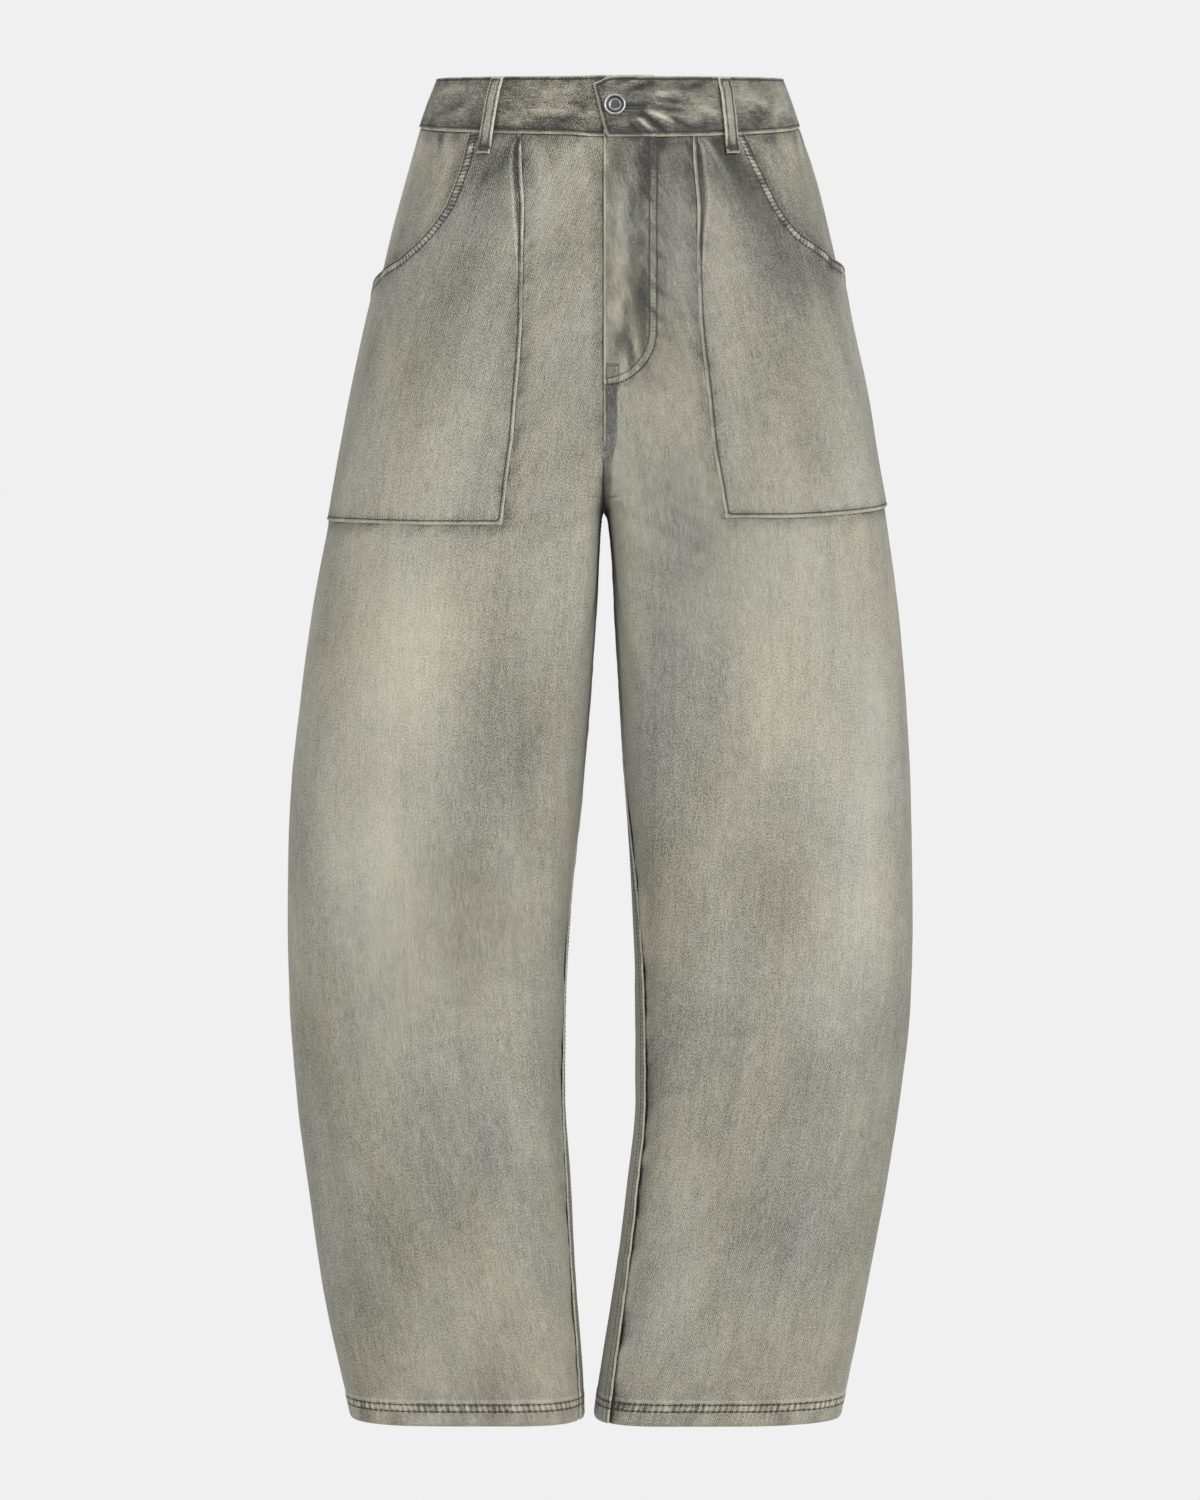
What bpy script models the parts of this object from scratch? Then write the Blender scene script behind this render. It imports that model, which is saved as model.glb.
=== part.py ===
"""Barrel leg trousers in washed denim, filled out with no wearer and held at the waist.

Metres, +Z up. The front faces -Y and the wearer's left is +X. The origin is the middle of
the waist opening, level with the middle of the waistband at the sides.
Sizes below are in millimetres, as a pattern cutter would write them, and MM turns them to metres.
"""

import functools
import math
from collections import namedtuple

import bmesh
import bpy
import numpy as np
from mathutils import Vector

MM = 0.001

# Driving sizes
WAIST_TOP = 20.0  # the waistband's top edge at the sides, above the origin
BAND_HEIGHT = 38.5
CROTCH_DROP = 326.0  # below the top edge at the sides
HEM_DROP = 1013.0
SEAM_X = -3.0  # the plane of the centre front and centre back seams
SEAM_GAP = 0.3
DENIM = 1.4
HEM_HEIGHT = 17.0
HEM_WALL = 3.2  # a hem is turned up twice, to the inside

# One row for each level of the body of the trousers. drop is measured down from the top edge
# at the side. The out and in columns are where each side reaches, front and back its depth,
# lobe the share of the half width at which it is deepest, and power how square it is.
# tilt lowers the front of a level and lifts its back, as the waist of a figure does.
Section = namedtuple(
    "Section", "drop right_out right_in left_in left_out front back lobe power tilt"
)
SECTIONS = [
    Section(0, -128, -3, -3, 131.8, -100, 100, 0.02, 2.15, 0.174),
    Section(39, -142.5, -3, -3, 145.8, -106, 110, 0.05, 2.15, 0.216),
    Section(77, -152.7, -3, -3, 159, -111, 122, 0.12, 2.2, 0.20),
    Section(131, -166.7, -3, -3, 172.3, -114, 137, 0.22, 2.25, 0.13),
    Section(185, -180.7, -3, -3, 183.5, -115, 145, 0.34, 2.3, 0.07),
    Section(241, -193, -3, -3, 195.8, -114, 145, 0.42, 2.35, 0.02),
    Section(290, -202, -3, -3, 203.6, -112, 136, 0.48, 2.4, 0.0),
    Section(326, -208.3, -3.3, -2.7, 209.8, -110, 124, 0.5, 2.45, 0.0),
    Section(334, -209.8, -4.9, 0.9, 211, -109.5, 121, 0.5, 2.45, 0.0),
    Section(405, -223, -9.0, 5.8, 219.8, -104, 100, 0.5, 2.5, 0.0),
    Section(478, -233, -14.1, 9.8, 225.8, -98, 88, 0.5, 2.5, 0.0),
    Section(551, -239.8, -20.3, 14.2, 229.3, -91, 80, 0.5, 2.5, 0.0),
    Section(624, -242.5, -27.6, 18.6, 230.8, -84, 73, 0.5, 2.5, 0.0),
    Section(697, -241.2, -31.2, 21.0, 229.3, -79, 68, 0.5, 2.5, 0.0),
    Section(770, -235.5, -31.8, 21.0, 221.7, -74, 63, 0.5, 2.55, 0.0),
    Section(843, -226, -28.4, 14.0, 210.3, -69, 58, 0.5, 2.6, 0.0),
    Section(916, -214.9, -24.0, 4.2, 196.8, -64, 54, 0.5, 2.7, 0.0),
    Section(989, -199.6, -18.6, -7.2, 182.3, -59, 50, 0.5, 2.8, 0.0),
    Section(1013, -194.6, -17.9, -10.5, 176.6, -57, 48, 0.5, 2.8, 0.0),
]

# The rise seam leaves the front and back at these drops and curves in to the crotch point.
FRONT_RISE_START = 226.0
BACK_RISE_START = 190.0
CROTCH_Y = 15.0
SEAT_RECESS = 4.0  # the centre back seam lies a little deeper than the seat beside it
CLEFT_WIDTH = 40.0
CREASE_POWER = 2.8

# Where the inseam lies, forward of the leg's inner edge, along the cloth.
Inseam = namedtuple("Inseam", "drop right_forward left_forward")
INSEAMS = [
    Inseam(0, 0, 0),
    Inseam(326, 0, 0),
    Inseam(405, 12, 18),
    Inseam(478, 22, 35),
    Inseam(551, 30, 50),
    Inseam(622, 34, 57),
    Inseam(726, 34, 53),
    Inseam(821, 32, 49),
    Inseam(1013, 30, 47),
]
OUTSEAM_BACK = 8.0  # the outseam lies this far behind the side's widest point

# How far from the seams the inner curve of a level reaches at most. It is narrow at the hips
# and grows down the thigh, so that no ledge crosses the leg at the crotch.
Reach = namedtuple("Reach", "drop front back")
REACHES = [
    Reach(0, 46, 60),
    Reach(300, 46, 60),
    Reach(405, 62, 74),
    Reach(478, 84, 92),
    Reach(570, 130, 130),
    Reach(1013, 130, 130),
]

# The largest soft folds. Each runs down the cloth between two drops, at a distance in front of
# the side's widest point (behind it where negative), and is raised, or sunk where negative.
Fold = namedtuple("Fold", "side top bottom top_place bottom_place half_width height")
FOLDS = [
    Fold("right", 60, 470, 118, 176, 34, 3.5),
    Fold("left", 60, 470, 122, 170, 34, 3.5),
    Fold("right", 250, 700, 205, 232, 26, -3.5),
    Fold("left", 250, 700, 200, 236, 26, -3.5),
    Fold("right", 420, 900, 120, 96, 44, 3.0),
    Fold("left", 420, 900, 112, 84, 44, 3.0),
    Fold("right", 560, 980, 44, 58, 26, -3.0),
    Fold("left", 560, 980, 40, 52, 26, -3.0),
    Fold("right", 250, 520, -120, -70, 34, -4.0),
    Fold("left", 250, 520, -120, -70, 34, -4.0),
    Fold("right", 520, 930, -150, -120, 38, 4.0),
    Fold("left", 520, 930, -150, -120, 38, 4.0),
]

QUARTER_STEPS = 60


def smooth(table, column, where):
    """The column's value at a value of the table's first column, on one smooth curve."""
    x = np.array([row[0] for row in table], float)
    y = np.array([getattr(row, column) for row in table], float)
    chord = np.diff(y) / np.diff(x)
    slope = np.empty(len(x))
    slope[0], slope[-1] = chord[0], chord[-1]
    before, after = np.diff(x)[:-1], np.diff(x)[1:]
    for k in range(len(before)):
        above, below = chord[k], chord[k + 1]
        if above * below <= 0:
            slope[k + 1] = 0
            continue
        first, second = 2 * after[k] + before[k], after[k] + 2 * before[k]
        slope[k + 1] = (first + second) / (first / above + second / below)
    i = int(np.clip(np.searchsorted(x, where, side="right") - 1, 0, len(x) - 2))
    span = x[i + 1] - x[i]
    t = (where - x[i]) / span
    if t < 0 or t > 1:
        end = 0 if t < 0 else -1
        return y[end] + slope[end] * (where - x[end])
    return (
        (2 * t**3 - 3 * t**2 + 1) * y[i]
        + (t**3 - 2 * t**2 + t) * span * slope[i]
        + (3 * t**2 - 2 * t**3) * y[i + 1]
        + (t**3 - t**2) * span * slope[i + 1]
    )


def quarter(start, end, power):
    """A quarter of a superellipse, which leaves start along Y and reaches end along X."""
    t = np.linspace(0, math.pi / 2, QUARTER_STEPS)
    x = end[0] + (start[0] - end[0]) * np.abs(np.cos(t)) ** (2 / power)
    y = start[1] + (end[1] - start[1]) * np.abs(np.sin(t)) ** (2 / power)
    return np.stack([x, y], axis=1)


def rise(drop, start, surface):
    """How deep the rise seam lies at this drop: on the surface, then in along a quarter ellipse."""
    if drop <= start:
        return surface
    share = min(1.0, (drop - start) / (CROTCH_DROP - start))
    return CROTCH_Y + (surface - CROTCH_Y) * math.sqrt(1 - share**2)


@functools.lru_cache(maxsize=None)
def half_section(side, drop):
    """Half a level in plan, from the front seam round the outside to the back seam.

    Returns its points, the length of cloth up to each, and that length at the widest point."""
    out = smooth(SECTIONS, side + "_out", drop)
    inner = smooth(SECTIONS, side + "_in", drop)
    front = smooth(SECTIONS, "front", drop)
    back = smooth(SECTIONS, "back", drop)
    lobe = inner + (out - inner) * smooth(SECTIONS, "lobe", drop)
    power = smooth(SECTIONS, "power", drop)
    if drop < CROTCH_DROP:
        inner = SEAM_X
        recess = SEAT_RECESS * math.sin(math.pi * min(1.0, max(0.0, (drop - 60) / 240)))
        front_seam = rise(drop, FRONT_RISE_START, front)
        back_seam = min(back - recess, rise(drop, BACK_RISE_START, back))
        inner += math.copysign(SEAM_GAP / 2, out)
    else:
        front_seam = back_seam = CROTCH_Y * max(0.0, 1 - (drop - CROTCH_DROP) / 400)
    reach = abs(lobe - inner)
    front_reach = min(reach, smooth(REACHES, "front", drop), abs(front_seam - front))
    back_reach = min(reach, smooth(REACHES, "back", drop), max(CLEFT_WIDTH, back - back_seam))
    widest = (out, 0.04 * (front + back))
    arcs = [
        quarter((inner, front_seam), (inner + math.copysign(front_reach, out), front), CREASE_POWER),
        quarter(widest, (lobe, front), power)[::-1],
        quarter(widest, (lobe, back), power)[1:],
        quarter((inner, back_seam), (inner + math.copysign(back_reach, out), back), CREASE_POWER)[::-1],
    ]
    points = np.concatenate(arcs)
    length = np.concatenate([[0], np.cumsum(np.hypot(*np.diff(points, axis=0).T))])
    return points, length, length[2 * QUARTER_STEPS - 1]


def edges_of(side, panel, drop):
    """Where a panel starts and ends on its level, as lengths of cloth from the front seam."""
    _, length, widest = half_section(side, drop)
    forward = smooth(INSEAMS, side + "_forward", drop)
    outseam = widest + OUTSEAM_BACK
    half_gap = SEAM_GAP / 2
    if panel == "front":
        return forward + (half_gap if drop >= CROTCH_DROP else 0), outseam - half_gap
    end = length[-1] + forward
    return outseam + half_gap, end - (half_gap if drop >= CROTCH_DROP else 0)


def on_cloth(side, drop, along):
    """The point of the outer surface at this drop and length of cloth, in millimetres."""
    points, length, _ = half_section(side, drop)
    if drop >= CROTCH_DROP:
        along = along % length[-1]
    x = np.interp(along, length, points[:, 0])
    y = np.interp(along, length, points[:, 1])
    return np.array([x, y, WAIST_TOP - drop + smooth(SECTIONS, "tilt", drop) * y])


def outward(side, drop, along):
    """The outward normal of the surface there."""
    step, deep = 1.5, 2.0
    upper = drop < CROTCH_DROP
    _, length, _ = half_section(side, drop)
    low, high = along - step, along + step
    if upper:
        low, high = max(0.0, low), min(length[-1], high)
    across = on_cloth(side, drop, high) - on_cloth(side, drop, low)
    top, bottom = drop - deep, drop + deep
    if upper and bottom >= CROTCH_DROP:
        bottom = drop
    if not upper and top < CROTCH_DROP:
        top = drop
    share = along / length[-1]
    lengths = [half_section(side, d)[1][-1] for d in (top, bottom)]
    down = on_cloth(side, bottom, share * lengths[1]) - on_cloth(side, top, share * lengths[0])
    normal = np.cross(across, down)
    if side == "left":
        normal = -normal
    return normal / np.linalg.norm(normal)


def bump(share):
    """A smooth rise from 0 at -1 to 1 at 0 and back to 0 at 1."""
    return 0.5 + 0.5 * math.cos(math.pi * min(1.0, abs(share)))


def folds_at(side, drop, along):
    """How far the soft folds raise the cloth here."""
    place = half_section(side, drop)[2] - along
    raised = 0.0
    for fold in FOLDS:
        if fold.side == side and fold.top < drop < fold.bottom:
            share = (drop - fold.top) / (fold.bottom - fold.top)
            middle = fold.top_place + (fold.bottom_place - fold.top_place) * share
            across = bump((place - middle) / fold.half_width)
            raised += fold.height * across * bump(2 * share - 1)
    return raised


def lifted(side, drop, along, height):
    """A point at this height over the cloth, in millimetres; a negative height is inside it."""
    normal = outward(side, drop, along)
    return on_cloth(side, drop, along) + normal * (height + folds_at(side, drop, along))


def shell(name, outer, inner, material, cells=None):
    """A closed solid between two grids of points, of rows and columns.

    cells says which of the grid's cells it fills, by row and column, or all of them."""
    bm = bmesh.new()
    top, bottom = [
        [[bm.verts.new(np.array(p) * MM) for p in row] for row in grid]
        for grid in (outer, inner)
    ]
    if cells is None:
        cells = [(r, c) for r in range(len(outer) - 1) for c in range(len(outer[0]) - 1)]
    filled = set(cells)
    for r, c in cells:
        for grid in (top, bottom):
            near, far = grid[r], grid[r + 1]
            bm.faces.new([near[c], near[c + 1], far[c + 1]])
            bm.faces.new([near[c], far[c + 1], far[c]])
        sides = [
            ((r - 1, c), (r, c), (r, c + 1)),
            ((r + 1, c), (r + 1, c), (r + 1, c + 1)),
            ((r, c - 1), (r, c), (r + 1, c)),
            ((r, c + 1), (r, c + 1), (r + 1, c + 1)),
        ]
        for beyond, (r1, c1), (r2, c2) in sides:
            if beyond not in filled:
                bm.faces.new([top[r1][c1], top[r2][c2], bottom[r2][c2], bottom[r1][c1]])
    bmesh.ops.delete(bm, geom=[v for v in bm.verts if not v.link_faces], context="VERTS")
    bmesh.ops.recalc_face_normals(bm, faces=bm.faces)
    return as_object(name, bm, material)


def as_object(name, bm, material):
    """The mesh as a named object, smooth but for its sharp edges."""
    mesh = bpy.data.meshes.new(name)
    bm.to_mesh(mesh)
    bm.free()
    mesh.materials.append(material)
    mesh.shade_smooth()
    mesh.set_sharp_from_angle(angle=math.radians(40))
    obj = bpy.data.objects.new(name, mesh)
    bpy.context.scene.collection.objects.link(obj)
    return obj


def material(name, colour, roughness, metallic=0.0):
    made = bpy.data.materials.new(name)
    made.use_nodes = True
    shader = made.node_tree.nodes["Principled BSDF"]
    shader.inputs["Base Color"].default_value = (*colour, 1.0)
    shader.inputs["Roughness"].default_value = roughness
    shader.inputs["Metallic"].default_value = metallic
    return made


def clear_scene():
    for obj in list(bpy.data.objects):
        bpy.data.objects.remove(obj, do_unlink=True)


# The fly: a facing on the left front, which ends in a J-shaped seam
FLY_WIDTH = 38.8
FLY_BEND = 198.0
FLY_END = 243.0
FLY_RAISED = 1.2

# Patch pockets, drawn on the front panels. Places are in front of the side's widest point.
# The mouth runs down to its corner row, and then along that row to the outseam.
PocketEdge = namedtuple("PocketEdge", "drop right_mouth left_mouth right_inner left_inner")
POCKET_EDGES = [
    PocketEdge(39, 92.5, 96.5, 136.5, 139.5),
    PocketEdge(68, 98.5, 98.0, 149.5, 153.0),
    PocketEdge(92, 99.0, 96.5, 160.0, 160.5),
    PocketEdge(115, 92.0, 88.5, 167.5, 168.0),
    PocketEdge(138, 70.0, 54.0, 174.5, 175.0),
    PocketEdge(148, 46.0, 46.0, 178.0, 178.0),
    PocketEdge(200, 44.0, 44.0, 193.0, 190.0),
    PocketEdge(248, 48.0, 48.0, 200.5, 196.0),
    PocketEdge(290, 52.0, 52.0, 204.5, 198.5),
    PocketEdge(347, 56.0, 56.0, 205.0, 196.0),
]
MOUTH_CORNER = {"right": 148.0, "left": 138.0}
MOUTH_FALL = {"right": 13.0, "left": 11.0}  # how much lower the mouth is at the outseam
POCKET_BOTTOM = {"right": 346.0, "left": 341.0}
POCKET_SLANT = {"right": 12.0, "left": 20.0}  # how much higher the bottom edge is at the side
POCKET_FLAT = 160.0
POCKET_RAISED = 0.3
MOUTH_BAND = 7.0
MOUTH_HEM = 0.8
MOUTH_GAPE = 2.2

# The width of cloth between the knife pleat's fold and the pocket's inner edge
Pleat = namedtuple("Pleat", "drop width height")
PLEATS = [
    Pleat(39, 1.6, 0.6),
    Pleat(50, 6.0, 2.0),
    Pleat(64, 8.0, 2.6),
    Pleat(90, 8.0, 2.6),
    Pleat(116, 5.5, 2.0),
    Pleat(150, 2.6, 1.2),
    Pleat(210, 1.6, 0.0),
    Pleat(347, 1.6, 0.0),
]
PLEAT_BLEND = 14.0  # how far beyond the fold the cloth is still raised

# Rows of the panels: shares of the way to the mouth's corner, then on to the rise seam, the
# rise seam's own rows by angle, and the leg's by a step
CORNER_SHARES = [0.0, 0.17, 0.34, 0.5, 0.66, 0.82, 0.92, 1.0]
BELOW_SHARES = [0.06, 0.25, 0.5, 0.75, 1.0]
RISE_ANGLES = [15, 30, 45, 58, 70, 80, 90]
LEG_START = 378.0
LEG_STEP = 44.0
BACK_COLUMNS = 12
POCKET_BODY = 4  # columns between the mouth's hem and the pleat
BESIDE_MOUTH = 3  # columns between the mouth and the outseam


def fly_width(drop):
    """How wide the fly is at this drop, from the centre front."""
    share = min(1.0, max(0.0, (drop - FLY_BEND) / (FLY_END - FLY_BEND)))
    return FLY_WIDTH * math.sqrt(1 - share**2)


def panel_rows(side):
    """The panels' rows, and how many of them the pocket takes."""
    top, corner = BAND_HEIGHT + SEAM_GAP, MOUTH_CORNER[side]
    rows = [top + (corner - top) * share for share in CORNER_SHARES]
    rows += [corner + (FRONT_RISE_START - corner) * share for share in BELOW_SHARES]
    span = CROTCH_DROP - FRONT_RISE_START
    rows += [FRONT_RISE_START + span * math.sin(math.radians(a)) for a in RISE_ANGLES]
    rows.append(POCKET_BOTTOM[side])
    pocket = len(rows)
    hem_top = HEM_DROP - HEM_HEIGHT
    steps = round((hem_top - LEG_START) / LEG_STEP)
    rows += list(np.linspace(LEG_START, hem_top, steps + 1)) + [hem_top + 2, HEM_DROP]
    return rows, pocket


def slanted(side, row, place):
    """The drop of a row at a place: rows follow the mouth and the pocket's bottom edge."""
    corner, bottom = MOUTH_CORNER[side], POCKET_BOTTOM[side]
    mouth_corner = smooth(POCKET_EDGES, side + "_mouth", corner)
    to_side = 1 - min(1.0, max(0.0, (place + OUTSEAM_BACK) / (mouth_corner + OUTSEAM_BACK)))
    near_mouth = max(0.0, 1 - abs(row - corner) / (60 if row > corner else 14))
    rise_to_side = 1 - min(1.0, max(0.0, (place + OUTSEAM_BACK) / POCKET_FLAT))
    if row <= bottom:
        near_bottom = max(0.0, (row - corner - 20) / (bottom - corner - 20))
    else:
        near_bottom = max(0.0, 1 - (row - bottom) / (LEG_START - bottom))
    fall = MOUTH_FALL[side] * to_side * near_mouth
    return round(row + fall - POCKET_SLANT[side] * near_bottom * rise_to_side**1.4, 3)


def front_columns(side, row):
    """The places of a front panel's columns on a row, and how far its outer face is raised."""
    seam = half_section(side, row)[2] - edges_of(side, "front", row)[0]
    side_end = SEAM_GAP / 2 - OUTSEAM_BACK
    inner = smooth(POCKET_EDGES, side + "_inner", min(row, 347))
    mouth = smooth(POCKET_EDGES, side + "_mouth", min(row, 347))
    fold = inner - smooth(PLEATS, "width", min(row, 347))
    fly = max(16.0, fly_width(row)) if side == "left" else 20.0
    raised = FLY_RAISED if side == "left" and row < FLY_END else 0.0
    places = [seam, seam - fly / 2, seam - fly, seam - fly - 2.0]
    places += [(seam - fly + inner) / 2, inner, fold + 0.6, fold - 1.0]
    places += list(np.linspace(fold - 1.0, mouth + MOUTH_BAND + 1.5, POCKET_BODY + 2)[1:])
    places += [mouth + MOUTH_BAND, mouth]
    places += list(np.linspace(mouth, side_end, BESIDE_MOUTH + 2)[1:])
    if row > POCKET_BOTTOM[side]:
        even = np.linspace(seam, side_end, len(places))
        share = min(1.0, (row - POCKET_BOTTOM[side]) / 120)
        places = [p + (e - p) * share for p, e in zip(places, even)]
    return places, [raised] * 3 + [0.0] * (len(places) - 3)


FOLD_COLUMN = 7  # the columns of front_columns that bound the pocket
INNER_COLUMN = 5
HEM_COLUMN = FOLD_COLUMN + POCKET_BODY + 1
MOUTH_COLUMN = HEM_COLUMN + 2


def make_front(side, denim):
    """A front panel and the patch pocket on it, which share their rows and columns."""
    rows, pocket_rows = panel_rows(side)
    outer, inner, patch_outer, patch_inner = [], [], [], []
    for number, row in enumerate(rows):
        wall = HEM_WALL if row > HEM_DROP - HEM_HEIGHT else DENIM
        places, raised = front_columns(side, row)
        outer.append([])
        inner.append([])
        patch_outer.append([])
        patch_inner.append([])
        lip = smooth(PLEATS, "height", min(row, 347))
        below = max(0.0, row - MOUTH_CORNER[side])
        gape = MOUTH_GAPE * min(1.0, max(0.0, (row - 60) / 60)) * math.exp(-below / 25)
        for column, place in enumerate(places):
            drop = slanted(side, row, place)
            along = half_section(side, drop)[2] - place
            outer[-1].append(lifted(side, drop, along, raised[column]))
            inner[-1].append(lifted(side, drop, along, -wall))
            if number >= pocket_rows:
                continue
            away = max(0.0, place - places[MOUTH_COLUMN])
            lift = POCKET_RAISED + gape * math.exp(-away / 25)
            top = lift + DENIM
            if column > HEM_COLUMN and row <= MOUTH_CORNER[side] + 0.1:
                top += MOUTH_HEM
            if column >= FOLD_COLUMN:
                top += lip * bump((places[FOLD_COLUMN] - place) / PLEAT_BLEND)
            patch_inner[-1].append(lifted(side, drop, along, lift))
            patch_outer[-1].append(lifted(side, drop, along, top))
    shell(side + "_front", outer, inner, denim)
    corner = len(CORNER_SHARES) - 1
    cells = []
    for r in range(pocket_rows - 1):
        last = MOUTH_COLUMN if r < corner else len(outer[0]) - 1
        cells += [(r, c) for c in range(INNER_COLUMN, last)]
    filled_rows = range(pocket_rows)
    patch_outer = [patch_outer[r] for r in filled_rows]
    patch_inner = [patch_inner[r] for r in filled_rows]
    return shell(side + "_pocket", patch_outer, patch_inner, denim, cells)


def make_back(side, denim):
    outer, inner = [], []
    for row in panel_rows(side)[0]:
        wall = HEM_WALL if row > HEM_DROP - HEM_HEIGHT else DENIM
        outer.append([])
        inner.append([])
        start, end = edges_of(side, "back", row)
        for along in np.linspace(start, end, BACK_COLUMNS):
            place = half_section(side, row)[2] - along
            drop = slanted(side, row, place) if along == start else row
            there = half_section(side, drop)[2] - place if along == start else along
            outer[-1].append(lifted(side, drop, there, 0))
            inner[-1].append(lifted(side, drop, there, -wall))
    return shell(side + "_back", outer, inner, denim)


# Waistband: one strip from the tab's end, round the left side and the back, to the underlap
BAND_WALL = 3.0
BAND_RAISED = 1.2
BAND_ROWS = [0.0, 1.2, 13.0, 26.0, 37.0, 38.2]
BAND_ROUND = 0.7  # how much its top and bottom edges are rounded
TAB_TOP = -8.0  # the tab's end at its top and bottom edges, past the centre front
TAB_BOTTOM = 2.3
TAB_CORNER = 4.0
TAB_STEP = 0.4  # the gap between the tab and the underlap
UNDERLAP = 38.0
DUCK_FROM = 34.0  # where the strip starts to pass under the tab, before the centre front
DUCK_TO = 13.0
BAND_STEPS = 40


def around(drop, place, height):
    """A point of the waist at a place counted in half girths from the centre front, leftwards."""
    place %= 2
    side, share = ("left", place) if place < 1 else ("right", 2 - place)
    return lifted(side, drop, share * half_section(side, drop)[1][-1], height)


def make_waistband(denim):
    outer, inner = [], []
    for drop in BAND_ROWS:
        half = half_section("left", drop)[1][-1]
        start = TAB_TOP + (TAB_BOTTOM - TAB_TOP) * drop / BAND_HEIGHT
        places = [(start / half, 0), ((start + 6) / half, 0), (16 / half, 0), (30 / half, 0)]
        after = np.linspace(30 / half, 2 - DUCK_FROM / half, BAND_STEPS)[1:]
        places += [(place, 0) for place in after]
        places += [(2 - DUCK_TO / half, 1), (2.0, 1), (2 + UNDERLAP / 2 / half, 1)]
        places += [(2 + UNDERLAP / half, 1)]
        trim = BAND_ROUND if drop in (BAND_ROWS[0], BAND_ROWS[-1]) else 0.0
        outer.append([])
        inner.append([])
        for k, (place, under) in enumerate(places):
            sunk = under * (BAND_WALL + TAB_STEP)
            corner = TAB_CORNER * (1 - drop / BAND_HEIGHT) if k == 0 else 0.0
            level = drop + corner
            outer[-1].append(around(level, place, BAND_RAISED - trim - sunk))
            inner[-1].append(around(level, place, BAND_RAISED - BAND_WALL + trim - sunk))
    return shell("waistband", outer, inner, denim)


# Belt loops, at shares of the half waist from the centre front, at their top and bottom ends
Loop = namedtuple("Loop", "side top bottom on_pocket")
LOOPS = [
    Loop("left", 0.240, 0.2235, True),
    Loop("right", 0.2205, 0.2165, True),
    Loop("left", 0.66, 0.66, False),
    Loop("right", 0.66, 0.66, False),
    Loop("left", 1.0, 1.0, False),
]
LOOP_WIDTH = 10.5
LOOP_WALL = 2.4
LoopStep = namedtuple("LoopStep", "drop height")
LOOP_STEPS = [
    LoopStep(1.6, 1.6),
    LoopStep(5.5, 1.6),
    LoopStep(10.5, 3.0),
    LoopStep(20.0, 3.6),
    LoopStep(32.0, 3.4),
    LoopStep(43.0, 2.9),
    LoopStep(48.5, 2.2),
    LoopStep(54.5, 2.2),
]


def make_loop(name, loop, denim):
    outer, inner = [], []
    for k, step in enumerate(LOOP_STEPS):
        share = loop.top + (loop.bottom - loop.top) * k / (len(LOOP_STEPS) - 1)
        place = share if loop.side == "left" else 2 - share
        half = half_section(loop.side, step.drop)[1][-1]
        height = step.height
        if not loop.on_pocket and step.drop > BAND_HEIGHT:
            height -= 1.5
        outer.append([])
        inner.append([])
        for across in (-0.5, -0.17, 0.17, 0.5):
            there = place + across * LOOP_WIDTH / half
            trim = 0.5 if abs(across) == 0.5 else 0.0
            outer[-1].append(around(step.drop, there, height + LOOP_WALL - trim))
            inner[-1].append(around(step.drop, there, height))
    return shell(name, outer, inner, denim)


# Shank button, turned: radius and height over the tab
BUTTON_DROP = 19.4
BUTTON_ALONG = 8.1
Turned = namedtuple("Turned", "radius height")
BUTTON = [
    Turned(0.0, 0.3),
    Turned(3.2, 0.3),
    Turned(3.2, 1.5),
    Turned(7.4, 1.7),
    Turned(8.0, 2.4),
    Turned(7.85, 3.3),
    Turned(7.2, 3.7),
    Turned(6.4, 3.1),
    Turned(4.6, 3.1),
    Turned(3.2, 3.8),
    Turned(0.0, 4.2),
]
BUTTON_SIDES = 24


def make_button(metal):
    bm = bmesh.new()
    ring = [bm.verts.new((step.radius * MM, 0, step.height * MM)) for step in BUTTON]
    edges = [bm.edges.new(pair) for pair in zip(ring, ring[1:])]
    bmesh.ops.spin(
        bm, geom=ring + edges, cent=(0, 0, 0), axis=(0, 0, 1), angle=math.tau,
        steps=BUTTON_SIDES, use_merge=True,
    )
    bmesh.ops.remove_doubles(bm, verts=bm.verts, dist=1e-6)
    bmesh.ops.recalc_face_normals(bm, faces=bm.faces)
    button = as_object("button", bm, metal)
    seat = lifted("left", BUTTON_DROP, BUTTON_ALONG, BAND_RAISED)
    button.location = Vector(seat * MM)
    facing = Vector(outward("left", BUTTON_DROP, BUTTON_ALONG))
    button.rotation_euler = facing.to_track_quat("Z", "Y").to_euler()
    return button


def main():
    clear_scene()
    denim = material("denim", (0.33, 0.33, 0.27), 0.9)
    double_denim = material("double_denim", (0.30, 0.30, 0.245), 0.9)
    steel = material("steel", (0.62, 0.62, 0.60), 0.32, metallic=1.0)
    for side in ("right", "left"):
        make_front(side, denim)
        make_back(side, denim)
    make_waistband(double_denim)
    for number, loop in enumerate(LOOPS, start=1):
        make_loop(f"belt_loop_{number}", loop, double_denim)
    make_button(steel)


main()
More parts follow.
